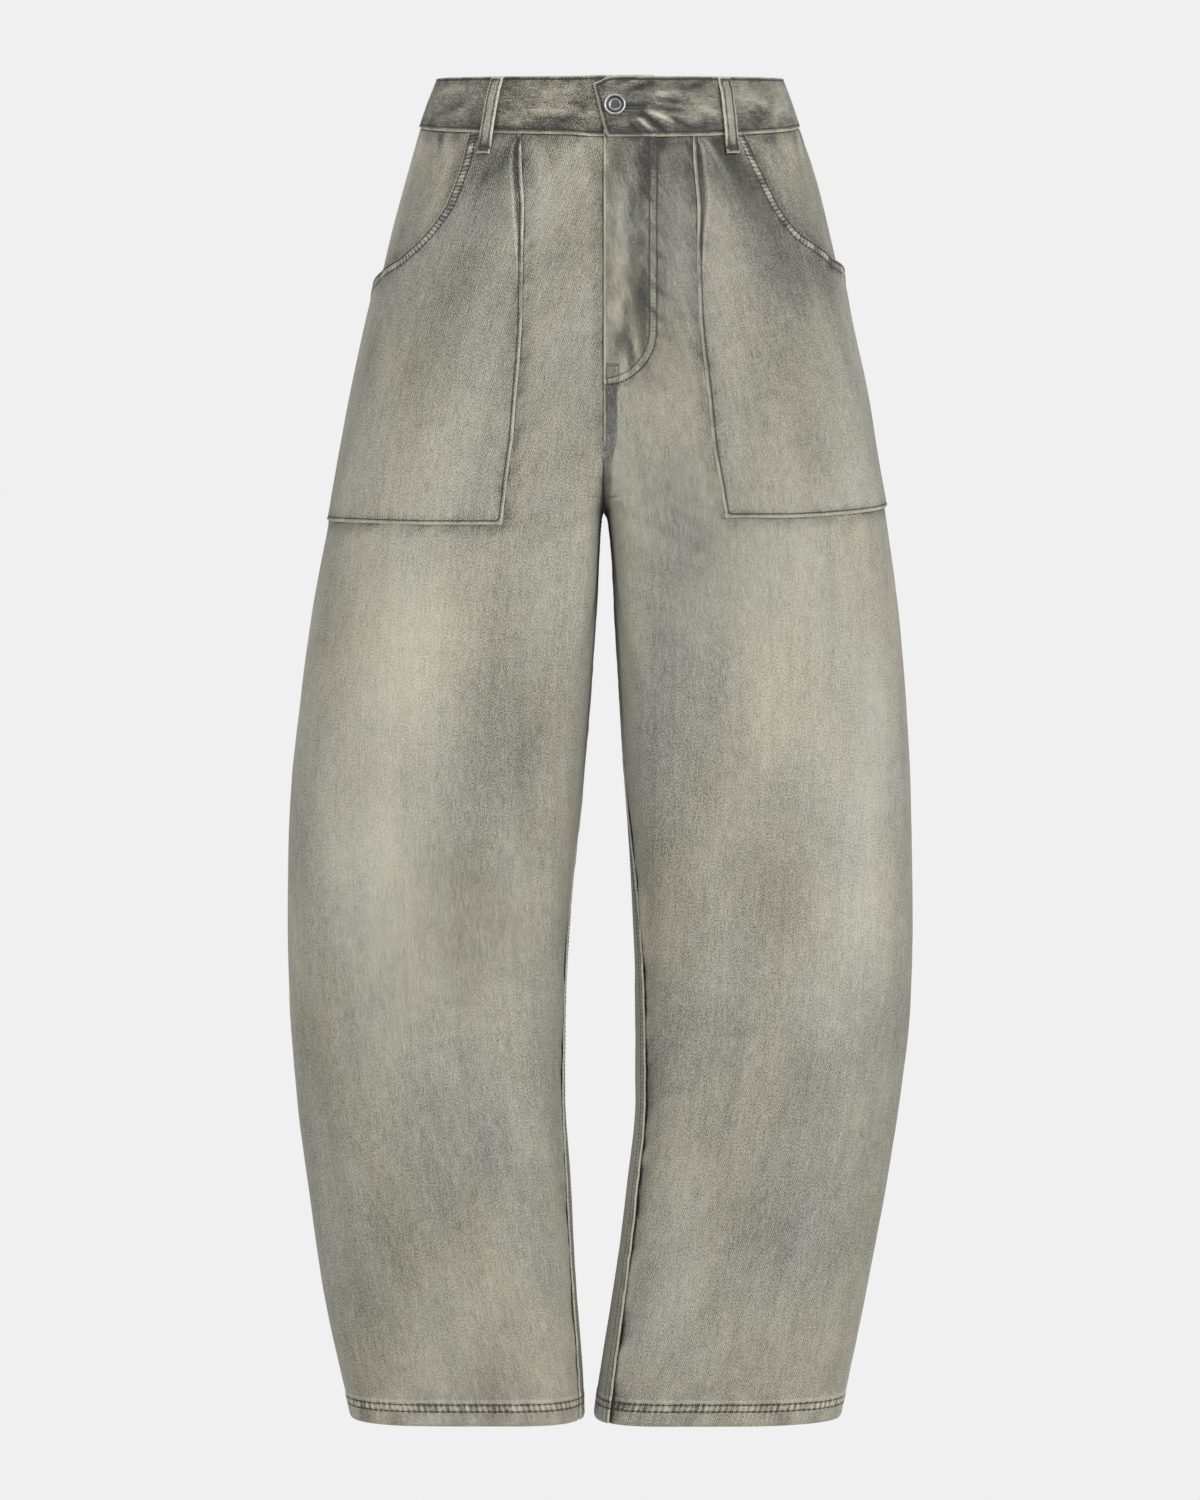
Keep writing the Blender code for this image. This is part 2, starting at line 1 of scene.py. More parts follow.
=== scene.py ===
# Barrel leg trousers in washed green-grey denim: the cloth, seams, thread and button over the frame.
import math
import bpy
import numpy as np
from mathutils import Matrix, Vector


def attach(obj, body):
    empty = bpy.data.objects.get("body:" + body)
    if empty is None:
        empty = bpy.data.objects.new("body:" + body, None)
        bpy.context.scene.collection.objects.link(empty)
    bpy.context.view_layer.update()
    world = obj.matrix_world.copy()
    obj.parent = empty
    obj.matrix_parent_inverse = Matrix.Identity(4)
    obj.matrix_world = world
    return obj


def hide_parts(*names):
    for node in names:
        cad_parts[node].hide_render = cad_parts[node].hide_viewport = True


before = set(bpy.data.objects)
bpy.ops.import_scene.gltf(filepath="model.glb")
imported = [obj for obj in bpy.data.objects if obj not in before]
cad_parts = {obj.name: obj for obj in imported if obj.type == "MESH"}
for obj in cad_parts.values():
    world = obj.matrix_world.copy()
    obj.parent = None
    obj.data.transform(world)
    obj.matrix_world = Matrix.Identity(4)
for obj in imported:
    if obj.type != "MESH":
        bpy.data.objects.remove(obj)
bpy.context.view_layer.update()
mm = 0.001
bpy.ops.object.select_all(action="DESELECT")
print("frame loaded:", len(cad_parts), "nodes")

# The garment's form, in millimetres, as the solids have it, but for the front rise, which stays
# at the surface further down here. A drop is measured down from the waistband's top edge at the
# sides, and a place forward of the side's widest point.
formSizes = {
    "waistTop": 20.0,
    "bandHeight": 38.5,
    "crotchDrop": 326.0,
    "hemDrop": 1013.0,
    "seamX": -3.0,
    "frontRiseStart": 284.0,
    "backRiseStart": 190.0,
    "crotchY": 15.0,
    "seatRecess": 4.0,
    "cleftWidth": 40.0,
    "outseamBack": 8.0,
    "arcSteps": 160,
    "levelStep": 2.0,
    "levelPoints": 701,
    "normalReach": (1.8, 2.5),
}
crotch = formSizes["crotchDrop"]
sides = ("right", "left")
# distances that no edge or row reaches
farAway, noRow = 99.0, 999.0
sectionNames = ("drop", "rightOut", "rightIn", "leftIn", "leftOut", "front", "back", "lobe", "power", "tilt")
sectionRows = [
    (0, -128, -3, -3, 131.8, -100, 100, 0.02, 2.15, 0.174),
    (39, -142.5, -3, -3, 145.8, -106, 110, 0.05, 2.15, 0.216),
    (77, -152.7, -3, -3, 159, -111, 122, 0.12, 2.2, 0.20),
    (131, -166.7, -3, -3, 172.3, -114, 137, 0.22, 2.25, 0.13),
    (185, -180.7, -3, -3, 183.5, -115, 145, 0.34, 2.3, 0.07),
    (241, -193, -3, -3, 195.8, -114, 145, 0.42, 2.35, 0.02),
    (290, -202, -3, -3, 203.6, -112, 136, 0.48, 2.4, 0.0),
    (326, -208.3, -3.3, -2.7, 209.8, -110, 124, 0.5, 2.45, 0.0),
    (334, -209.8, -4.9, 0.9, 211, -109.5, 121, 0.5, 2.45, 0.0),
    (405, -223, -9.0, 5.8, 219.8, -104, 100, 0.5, 2.5, 0.0),
    (478, -233, -14.1, 9.8, 225.8, -98, 88, 0.5, 2.5, 0.0),
    (551, -239.8, -20.3, 14.2, 229.3, -91, 80, 0.5, 2.5, 0.0),
    (624, -242.5, -27.6, 18.6, 230.8, -84, 73, 0.5, 2.5, 0.0),
    (697, -241.2, -31.2, 21.0, 229.3, -79, 68, 0.5, 2.5, 0.0),
    (770, -235.5, -31.8, 21.0, 221.7, -74, 63, 0.5, 2.55, 0.0),
    (843, -226, -28.4, 14.0, 210.3, -69, 58, 0.5, 2.6, 0.0),
    (916, -214.9, -24.0, 4.2, 196.8, -64, 54, 0.5, 2.7, 0.0),
    (989, -199.6, -18.6, -7.2, 182.3, -59, 50, 0.5, 2.8, 0.0),
    (1013, -194.6, -17.9, -10.5, 176.6, -57, 48, 0.5, 2.8, 0.0),
]
# how far from the seams the inner curve of a level reaches at most
reachNames = ("drop", "front", "back")
reachRows = [(0, 46, 60), (300, 46, 60), (405, 62, 74), (478, 84, 92), (570, 130, 130), (1013, 130, 130)]
inseamNames = ("drop", "rightForward", "leftForward")
inseamRows = [
    (0, 0, 0),
    (326, 0, 0),
    (405, 12, 18),
    (478, 22, 35),
    (551, 30, 50),
    (622, 34, 57),
    (726, 34, 53),
    (821, 32, 49),
    (1013, 30, 47),
]
# the largest soft folds: top and bottom drop, top and bottom place, half width, height
foldRows = [
    ("right", 60, 470, 118, 176, 34, 3.5),
    ("left", 60, 470, 122, 170, 34, 3.5),
    ("right", 250, 700, 205, 232, 26, -3.5),
    ("left", 250, 700, 200, 236, 26, -3.5),
    ("right", 420, 900, 120, 96, 44, 3.0),
    ("left", 420, 900, 112, 84, 44, 3.0),
    ("right", 560, 980, 44, 58, 26, -3.0),
    ("left", 560, 980, 40, 52, 26, -3.0),
    ("right", 250, 520, -120, -70, 34, -4.0),
    ("left", 250, 520, -120, -70, 34, -4.0),
    ("right", 520, 930, -150, -120, 38, 4.0),
    ("left", 520, 930, -150, -120, 38, 4.0),
]
# how sharply a level turns in beside its seam
turnNames = ("drop", "front", "back")
turnRows = [
    (0, 2.8, 2.8),
    (226, 3.6, 2.8),
    (300, 6.5, 3.6),
    (326, 7.5, 4.2),
    (405, 7.0, 4.0),
    (500, 5.5, 3.4),
    (620, 4.0, 2.9),
    (740, 3.3, 2.8),
    (1013, 2.9, 2.8),
]


def curveThrough(names, rows, column, where):
    # a smooth curve through one column of a table, which never overshoots its rows
    x = np.array([row[0] for row in rows], float)
    y = np.array([row[names.index(column)] for row in rows], float)
    where = np.asarray(where, float)
    chord = np.diff(y) / np.diff(x)
    slope = np.concatenate([[chord[0]], np.zeros(len(x) - 2), [chord[-1]]])
    for k in range(1, len(x) - 1):
        if chord[k - 1] * chord[k] > 0:
            before, after = x[k] - x[k - 1], x[k + 1] - x[k]
            first, second = 2 * after + before, after + 2 * before
            slope[k] = (first + second) / (first / chord[k - 1] + second / chord[k])
    i = np.clip(np.searchsorted(x, where, side="right") - 1, 0, len(x) - 2)
    span = x[i + 1] - x[i]
    t = np.clip((where - x[i]) / span, 0, 1)
    value = (2 * t**3 - 3 * t**2 + 1) * y[i] + (3 * t**2 - 2 * t**3) * y[i + 1]
    value += (t**3 - 2 * t**2 + t) * span * slope[i] + (t**3 - t**2) * span * slope[i + 1]
    value += np.minimum(where - x[0], 0) * slope[0]
    return value + np.maximum(where - x[-1], 0) * slope[-1]


def quarterArc(start, end, power):
    t = np.linspace(0, math.pi / 2, formSizes["arcSteps"])
    x = end[0] + (start[0] - end[0]) * np.abs(np.cos(t)) ** (2 / power)
    y = start[1] + (end[1] - start[1]) * np.abs(np.sin(t)) ** (2 / power)
    return np.stack([x, y], axis=1)


def riseDepth(drop, start, surface):
    # the rise seam lies on the surface, then curves in to the crotch
    if drop <= start:
        return surface
    share = min(1.0, (drop - start) / (crotch - start))
    return formSizes["crotchY"] + (surface - formSizes["crotchY"]) * math.sqrt(1 - share**2)


def reachAt(drop):
    return {half: float(curveThrough(reachNames, reachRows, half, drop)) for half in ("front", "back")}


def planCurve(side, drop):
    # half a level in plan, from the front seam round the outside to the back seam
    f = formSizes
    at = {name: float(curveThrough(sectionNames, sectionRows, name, drop)) for name in sectionNames[1:]}
    out, inner, front, back = at[side + "Out"], at[side + "In"], at["front"], at["back"]
    lobe = inner + (out - inner) * at["lobe"]
    if drop < crotch:
        inner = f["seamX"]
        recess = f["seatRecess"] * math.sin(math.pi * min(1.0, max(0.0, (drop - 60) / 240)))
        frontSeam = riseDepth(drop, f["frontRiseStart"], front)
        backSeam = min(back - recess, riseDepth(drop, f["backRiseStart"], back))
    else:
        frontSeam = backSeam = f["crotchY"] * max(0.0, 1 - (drop - crotch) / 400)
    reach = reachAt(drop)
    turn = {half: float(curveThrough(turnNames, turnRows, half, drop)) for half in ("front", "back")}
    frontReach = min(abs(lobe - inner), reach["front"], abs(frontSeam - front))
    backReach = min(abs(lobe - inner), reach["back"], max(f["cleftWidth"], back - backSeam))
    widest = (out, 0.04 * (front + back))
    arcs = [
        quarterArc((inner, frontSeam), (inner + math.copysign(frontReach, out), front), turn["front"]),
        quarterArc(widest, (lobe, front), at["power"])[::-1],
        quarterArc(widest, (lobe, back), at["power"])[1:],
        quarterArc((inner, backSeam), (inner + math.copysign(backReach, out), back), turn["back"])[::-1],
    ]
    points = np.concatenate(arcs)
    length = np.concatenate([[0], np.cumsum(np.hypot(*np.diff(points, axis=0).T))])
    return points, length, length[2 * f["arcSteps"] - 1]


def buildLevels(side, drops):
    share = np.linspace(0, 1, formSizes["levelPoints"])
    levels = {"drops": drops, "x": [], "y": [], "length": [], "widest": [], "frontTurn": [], "backTurn": []}
    steps = 2 * formSizes["arcSteps"]
    for drop in drops:
        points, length, widest = planCurve(side, drop)
        levels["x"].append(np.interp(share * length[-1], length, points[:, 0]))
        levels["y"].append(np.interp(share * length[-1], length, points[:, 1]))
        levels["length"].append(length[-1])
        levels["widest"].append(widest)
        # the lengths at which the plain front and back begin, past the turn beside each seam
        across, reach = np.abs(points[:, 0] - points[0, 0]), reachAt(drop)
        levels["frontTurn"].append(np.interp(reach["front"], across[:steps], length[:steps]))
        levels["backTurn"].append(np.interp(reach["back"], across[steps:][::-1], length[steps:][::-1]))
    return {name: np.array(values) for name, values in levels.items()}


stepDown = formSizes["levelStep"]
nearCrotch = crotch - np.array([10, 7, 4.5, 2.5, 1.2, 0.4, 0.01])
upperDrops = np.concatenate([np.arange(-14, crotch - 12, stepDown), nearCrotch])
lowerDrops = np.arange(crotch, formSizes["hemDrop"] + 12, stepDown)
bodyLevels = {
    (side, part): buildLevels(side, drops)
    for side in sides
    for part, drops in (("upper", upperDrops), ("lower", lowerDrops))
}


def levelValue(side, drop, column):
    upper, lower = bodyLevels[side, "upper"], bodyLevels[side, "lower"]
    above = np.interp(drop, upper["drops"], upper[column])
    below = np.interp(drop, lower["drops"], lower[column])
    return np.where(drop >= crotch, below, above)


def lengthsAt(side, drop):
    # the length of cloth of a half level, and the length up to its widest point
    return levelValue(side, drop, "length"), levelValue(side, drop, "widest")


def clothPoint(side, drop, along):
    drop, along = np.broadcast_arrays(np.asarray(drop, float), np.asarray(along, float))
    whole = lengthsAt(side, drop)[0]
    share = np.where(drop >= crotch, (along / whole) % 1.0, np.clip(along / whole, 0, 1))
    result = np.empty(drop.shape + (3,))
    for part, chosen in (("upper", drop < crotch), ("lower", drop >= crotch)):
        levels = bodyLevels[side, part]
        level = np.interp(drop[chosen], levels["drops"], np.arange(len(levels["drops"])))
        row = np.clip(level.astype(int), 0, len(levels["drops"]) - 2)
        t = level - row
        column = share[chosen] * (formSizes["levelPoints"] - 1)
        left = np.clip(column.astype(int), 0, formSizes["levelPoints"] - 2)
        s = column - left
        for axis, name in enumerate(("x", "y")):
            grid = levels[name]
            top = grid[row, left] * (1 - s) + grid[row, left + 1] * s
            low = grid[row + 1, left] * (1 - s) + grid[row + 1, left + 1] * s
            result[chosen, axis] = top * (1 - t) + low * t
    tilt = curveThrough(sectionNames, sectionRows, "tilt", drop)
    result[..., 2] = formSizes["waistTop"] - drop + tilt * result[..., 1]
    return result


def clothNormal(side, drop, along):
    drop, along = np.broadcast_arrays(np.asarray(drop, float), np.asarray(along, float))
    whole, wide = lengthsAt(side, drop)
    upper = drop < crotch
    reach, reachDown = formSizes["normalReach"]
    low = np.where(upper, np.maximum(along - reach, 0), along - reach)
    high = np.where(upper, np.minimum(along + reach, whole), along + reach)
    across = clothPoint(side, drop, high) - clothPoint(side, drop, low)
    above = np.where(upper, drop - reachDown, np.maximum(drop - reachDown, crotch))
    below = np.where(upper, np.minimum(drop + reachDown, crotch - 0.02), drop + reachDown)
    # down the cloth at one place, which counts from the side of the form
    ends = []
    for level in (above, below):
        levelWhole, levelWide = lengthsAt(side, level)
        moved = along - wide + levelWide
        ends.append(clothPoint(side, level, np.where(upper, np.clip(moved, 0, levelWhole), moved)))
    normal = np.cross(across, ends[1] - ends[0])
    if side == "left":
        normal = -normal
    return normal / np.maximum(np.linalg.norm(normal, axis=-1, keepdims=True), 1e-9)


# the waistband's lower edge: share of the half girth from the centre front, drop on each side
bandLineNames = ("share", "right", "left")
bandLineRows = [
    (0, 38.8, 40.2),
    (0.12, 38.1, 40.0),
    (0.365, 37.6, 38.4),
    (0.5, 36.8, 36.8),
    (0.65, 37.2, 37.2),
    (1.0, 38.3, 38.3),
]


def bandBottom(side, drop, along):
    return curveThrough(bandLineNames, bandLineRows, side, np.clip(along / lengthsAt(side, drop)[0], 0, 1))


def bump(share):
    return 0.5 + 0.5 * np.cos(math.pi * np.minimum(1.0, np.abs(share)))


def easeIn(value, start, end):
    t = np.clip((value - start) / (end - start), 0, 1)
    return t * t * (3 - 2 * t)


def softFolds(side, drop, place):
    raised = np.zeros(np.shape(drop))
    for foldSide, top, bottom, topPlace, bottomPlace, halfWidth, height in foldRows:
        if foldSide == side:
            share = (drop - top) / (bottom - top)
            middle = topPlace + (bottomPlace - topPlace) * share
            inside = (share > 0) & (share < 1)
            raised += inside * height * bump((place - middle) / halfWidth) * bump(2 * share - 1)
    return raised


def lay(side, drop, along, height):
    # points at a height over the cloth, in millimetres
    place = lengthsAt(side, drop)[1] - along
    lifted = height + softFolds(side, drop, place)
    return clothPoint(side, drop, along) + clothNormal(side, drop, along) * lifted[..., None]


def softNoise(u, v, seed):
    # seeded noise between -1 and 1, with one cell to each unit
    lattice = np.random.RandomState(seed).uniform(-1, 1, (89, 89))
    iu, iv = np.floor(u).astype(int), np.floor(v).astype(int)
    fu, fv = u - iu, v - iv
    fu, fv = fu * fu * (3 - 2 * fu), fv * fv * (3 - 2 * fv)
    a, b = lattice[iu % 89, iv % 89], lattice[(iu + 1) % 89, iv % 89]
    c, d = lattice[iu % 89, (iv + 1) % 89], lattice[(iu + 1) % 89, (iv + 1) % 89]
    return (a * (1 - fu) + b * fu) * (1 - fv) + (c * (1 - fu) + d * fu) * fv


def puckers(distance, run, pitch, reach, depth, seed):
    # ripples across a seam, strongest beside it
    slanted = run / pitch + 0.35 * distance / reach
    ripple = softNoise(slanted, distance / (4 * reach) + 7.3, seed)
    ripple = ripple + 0.5 * softNoise(slanted * 2.1, distance / (2 * reach), seed + 1)
    return depth * np.exp(-((distance / reach) ** 2)) * ripple


def distanceTo(points, line):
    # the distance from each point to a polyline, and the run along the line where it is nearest
    best = np.full(len(points), 1e9)
    run = np.zeros(len(points))
    start = 0.0
    for a, b in zip(line[:-1], line[1:]):
        span = b - a
        size = float(np.hypot(*span))
        if size < 1e-6:
            continue
        t = np.clip(((points - a) @ span) / size**2, 0, 1)
        gap = np.hypot(points[:, 0] - a[0] - t * span[0], points[:, 1] - a[1] - t * span[1])
        closer = gap < best
        best = np.where(closer, gap, best)
        run = np.where(closer, start + t * size, run)
        start += size
    return best, run


def distancesTo(place, drop, line):
    points = np.stack([np.ravel(place), np.ravel(drop)], axis=1)
    gap, run = distanceTo(points, np.asarray(line, float))
    return gap.reshape(np.shape(place)), run.reshape(np.shape(place))


def creaseSum(rows, across, down, faint):
    # soft ridges and troughs along straight lines, which fade to a faint share at their ends
    raised = np.zeros(np.shape(across))
    for startAcross, startDown, endAcross, endDown, halfWidth, height in rows:
        line = np.array([[startAcross, startDown], [endAcross, endDown]], float)
        gap, run = distancesTo(across, down, line)
        share = run / np.hypot(endAcross - startAcross, endDown - startDown)
        raised += height * bump(gap / halfWidth) * (faint + (1 - faint) * bump(2 * share - 1))
    return raised


def patchSum(rows, across, down):
    # soft oval patches: middle across and down, half width, half length, strength
    strength = np.zeros(np.shape(across))
    for middle, level, halfWidth, halfLength, amount in rows:
        strength += amount * np.exp(-(((across - middle) / halfWidth) ** 2) - ((down - level) / halfLength) ** 2)
    return strength


def foldedEdge(distance, ridge=0.35, groove=0.45, row=2.6):
    # the height beside a turned and stitched edge: rolled over, ridged, and drawn in at the stitches
    rolled = -1.1 * (1 - easeIn(distance, 0.0, 1.0))
    ridged = ridge * bump((distance - 1.3) / 1.3)
    return rolled + ridged - groove * bump((distance - row) / 1.1)


# Edges of the panels and pockets
pocketNames = ("drop", "rightMouth", "leftMouth", "rightInner", "leftInner")
pocketRows = [
    (39, 92.5, 96.5, 136.5, 139.5),
    (68, 98.5, 98.0, 149.5, 153.0),
    (92, 99.0, 96.5, 160.0, 160.5),
    (115, 92.0, 88.5, 167.5, 168.0),
    (138, 70.0, 54.0, 174.5, 175.0),
    (148, 46.0, 46.0, 178.0, 178.0),
    (200, 44.0, 44.0, 193.0, 190.0),
    (248, 48.0, 48.0, 200.5, 196.0),
    (290, 52.0, 52.0, 204.5, 198.5),
    (347, 56.0, 56.0, 205.0, 196.0),
]
pleatNames = ("drop", "width", "height")
pleatRows = [
    (39, 1.6, 0.6),
    (50, 6.0, 2.0),
    (64, 7.0, 2.4),
    (90, 7.0, 2.4),
    (116, 5.0, 1.9),
    (150, 2.6, 1.2),
    (210, 1.6, 0.0),
    (347, 1.6, 0.0),
]
pocketSizes = {
    "corner": {"right": 148.0, "left": 138.0},
    "fall": {"right": 13.0, "left": 11.0},
    "bottom": {"right": 346.0, "left": 341.0},
    "slant": {"right": 12.0, "left": 20.0},
    "flat": 160.0,
    "wall": 1.2,
    "lifted": 0.45,
    "gape": 2.2,
    "mouthRows": (2.4, 8.2),
    "edgeRow": 2.8,
    "pleatBlend": 14.0,
}
flySizes = {"width": 38.8, "bend": 198.0, "end": 243.0, "raised": 1.2, "rowGap": 5.6}


def pocketCurve(side, column, drop):
    return curveThrough(pocketNames, pocketRows, side + column, drop)


def bottomDrop(side, row, place):
    # rows rise towards the side as they near the pocket's bottom edge
    p = pocketSizes
    near = np.clip((row - p["corner"][side] - 20) / (p["bottom"][side] - p["corner"][side] - 20), 0, 1)
    toSide = 1 - np.clip((place + formSizes["outseamBack"]) / p["flat"], 0, 1)
    return row - p["slant"][side] * near * toSide**1.4


def mouthLine(side):
    p = pocketSizes
    drops = np.linspace(formSizes["bandHeight"] - 1, p["corner"][side], 60)
    upper = np.stack([pocketCurve(side, "Mouth", drops), drops], axis=1)
    end = np.array([-formSizes["outseamBack"], p["corner"][side] + p["fall"][side]])
    t = np.linspace(0, 1, 12)[1:, None]
    return np.concatenate([upper, upper[-1] * (1 - t) + end * t])


def edgeLine(side):
    # the pocket's inner edge, its corner and its bottom edge
    p = pocketSizes
    drops = np.linspace(formSizes["bandHeight"] - 1, p["bottom"][side] - 3, 90)
    inner = np.stack([pocketCurve(side, "Inner", drops), drops], axis=1)
    places = np.linspace(pocketCurve(side, "Inner", p["bottom"][side]) - 3, -formSizes["outseamBack"], 60)
    bottom = np.stack([places, bottomDrop(side, p["bottom"][side], places)], axis=1)
    return np.concatenate([inner, bottom])


mouthLines = {side: mouthLine(side) for side in sides}
edgeLines = {side: edgeLine(side) for side in sides}


def flyWidth(drop):
    share = np.clip((drop - flySizes["bend"]) / (flySizes["end"] - flySizes["bend"]), 0, 1)
    return flySizes["width"] * np.sqrt(1 - share**2)


def flyLine(inset=0.0):
    # the J of the fly, from the waist to the centre front, as lengths from that seam
    width, bend, end = flySizes["width"] - inset, flySizes["bend"], flySizes["end"] - inset
    t = np.linspace(0, math.pi / 2, 24)[1:]
    straight = np.array([[width, drop] for drop in np.linspace(formSizes["bandHeight"], bend, 60)])
    turned = np.stack([width * np.cos(t), bend + (end - bend) * np.sin(t)], axis=1)
    return np.concatenate([straight, turned])


# Creases and ripples: start and end place and drop, half width, height
creaseRows = {
    "rightFront": [
        (285, 335, 215, 372, 10, -2.2),
        (262, 372, 200, 428, 13, -1.8),
        (240, 330, 196, 352, 7, 1.2),
        (330, 344, 268, 470, 12, -2.0),
        (150, 560, 128, 700, 16, 1.5),
        (96, 640, 82, 800, 14, -1.3),
        (180, 700, 196, 850, 15, -1.5),
        (60, 800, 120, 850, 12, -1.0),
        (190, 880, 120, 915, 11, 1.0),
    ],
    "leftFront": [
        (280, 335, 214, 368, 10, -2.2),
        (258, 376, 205, 440, 13, -1.8),
        (236, 332, 196, 350, 7, 1.2),
        (318, 345, 262, 480, 12, -2.2),
        (140, 540, 120, 690, 16, 1.5),
        (84, 620, 70, 790, 14, -1.3),
        (190, 720, 205, 860, 15, -1.6),
        (50, 820, 110, 866, 12, -1.0),
        (170, 890, 96, 925, 11, 1.0),
    ],
    "rightBack": [
        (-210, 250, -120, 330, 15, -2.6),
        (-240, 300, -150, 372, 14, -2.4),
        (-200, 360, -110, 420, 16, -2.0),
        (-250, 560, -60, 590, 16, -1.8),
        (-240, 620, -70, 648, 15, -2.0),
        (-230, 676, -90, 690, 14, -1.4),
        (-180, 840, -90, 880, 15, 1.2),
    ],
    "leftBack": [
        (-208, 252, -124, 326, 15, -2.6),
        (-238, 304, -146, 378, 14, -2.4),
        (-204, 366, -104, 424, 16, -2.0),
        (-246, 566, -66, 588, 16, -1.8),
        (-236, 628, -74, 652, 15, -2.0),
        (-226, 682, -84, 694, 14, -1.4),
        (-186, 846, -96, 880, 15, 1.2),
    ],
}


def looseCloth(place, drop, seed):
    # the slight unevenness of cloth that hangs free
    broad = 0.9 * softNoise(place / 62 + 3.1, drop / 105, seed)
    middle = 0.38 * softNoise(place / 24, drop / 46 + 5.7, seed + 1)
    return broad + middle + 0.12 * softNoise(place / 9, drop / 15, seed + 2)


hemSizes = {"height": 17.0, "rows": (11.0, 16.2), "raised": 0.5, "wall": 3.0, "ropePitch": 5.6, "cellPitch": 4.3}
panelSizes = {"wall": 1.25, "columns": (42, 62), "rowStep": 3.05, "fineStep": 1.5, "tucked": 4.4}


def hemRelief(drop, along, seed):
    up = formSizes["hemDrop"] - drop
    raised = hemSizes["raised"] * easeIn(hemSizes["height"] + 1.2 - up, 0, 1.6) - 0.6 * (1 - easeIn(up, 0, 1.2))
    rope = np.sin(2 * math.pi * (along / hemSizes["ropePitch"] + 0.8 * softNoise(along / 17, up * 0, seed)) + 0.16 * up)
    rope *= 0.42 * bump((up - 13.5) / 7.0) + 0.20 * bump((up - 4) / 7)
    rows = sum(bump((up - row) / 1.3) for row in hemSizes["rows"])
    above = puckers(np.abs(up - 17), along, 9.0, 10.0, 0.35, seed + 3)
    return raised, rope * (0.6 + 0.4 * softNoise(along / 23, up * 0 + 2, seed + 5)) - 0.35 * rows + above


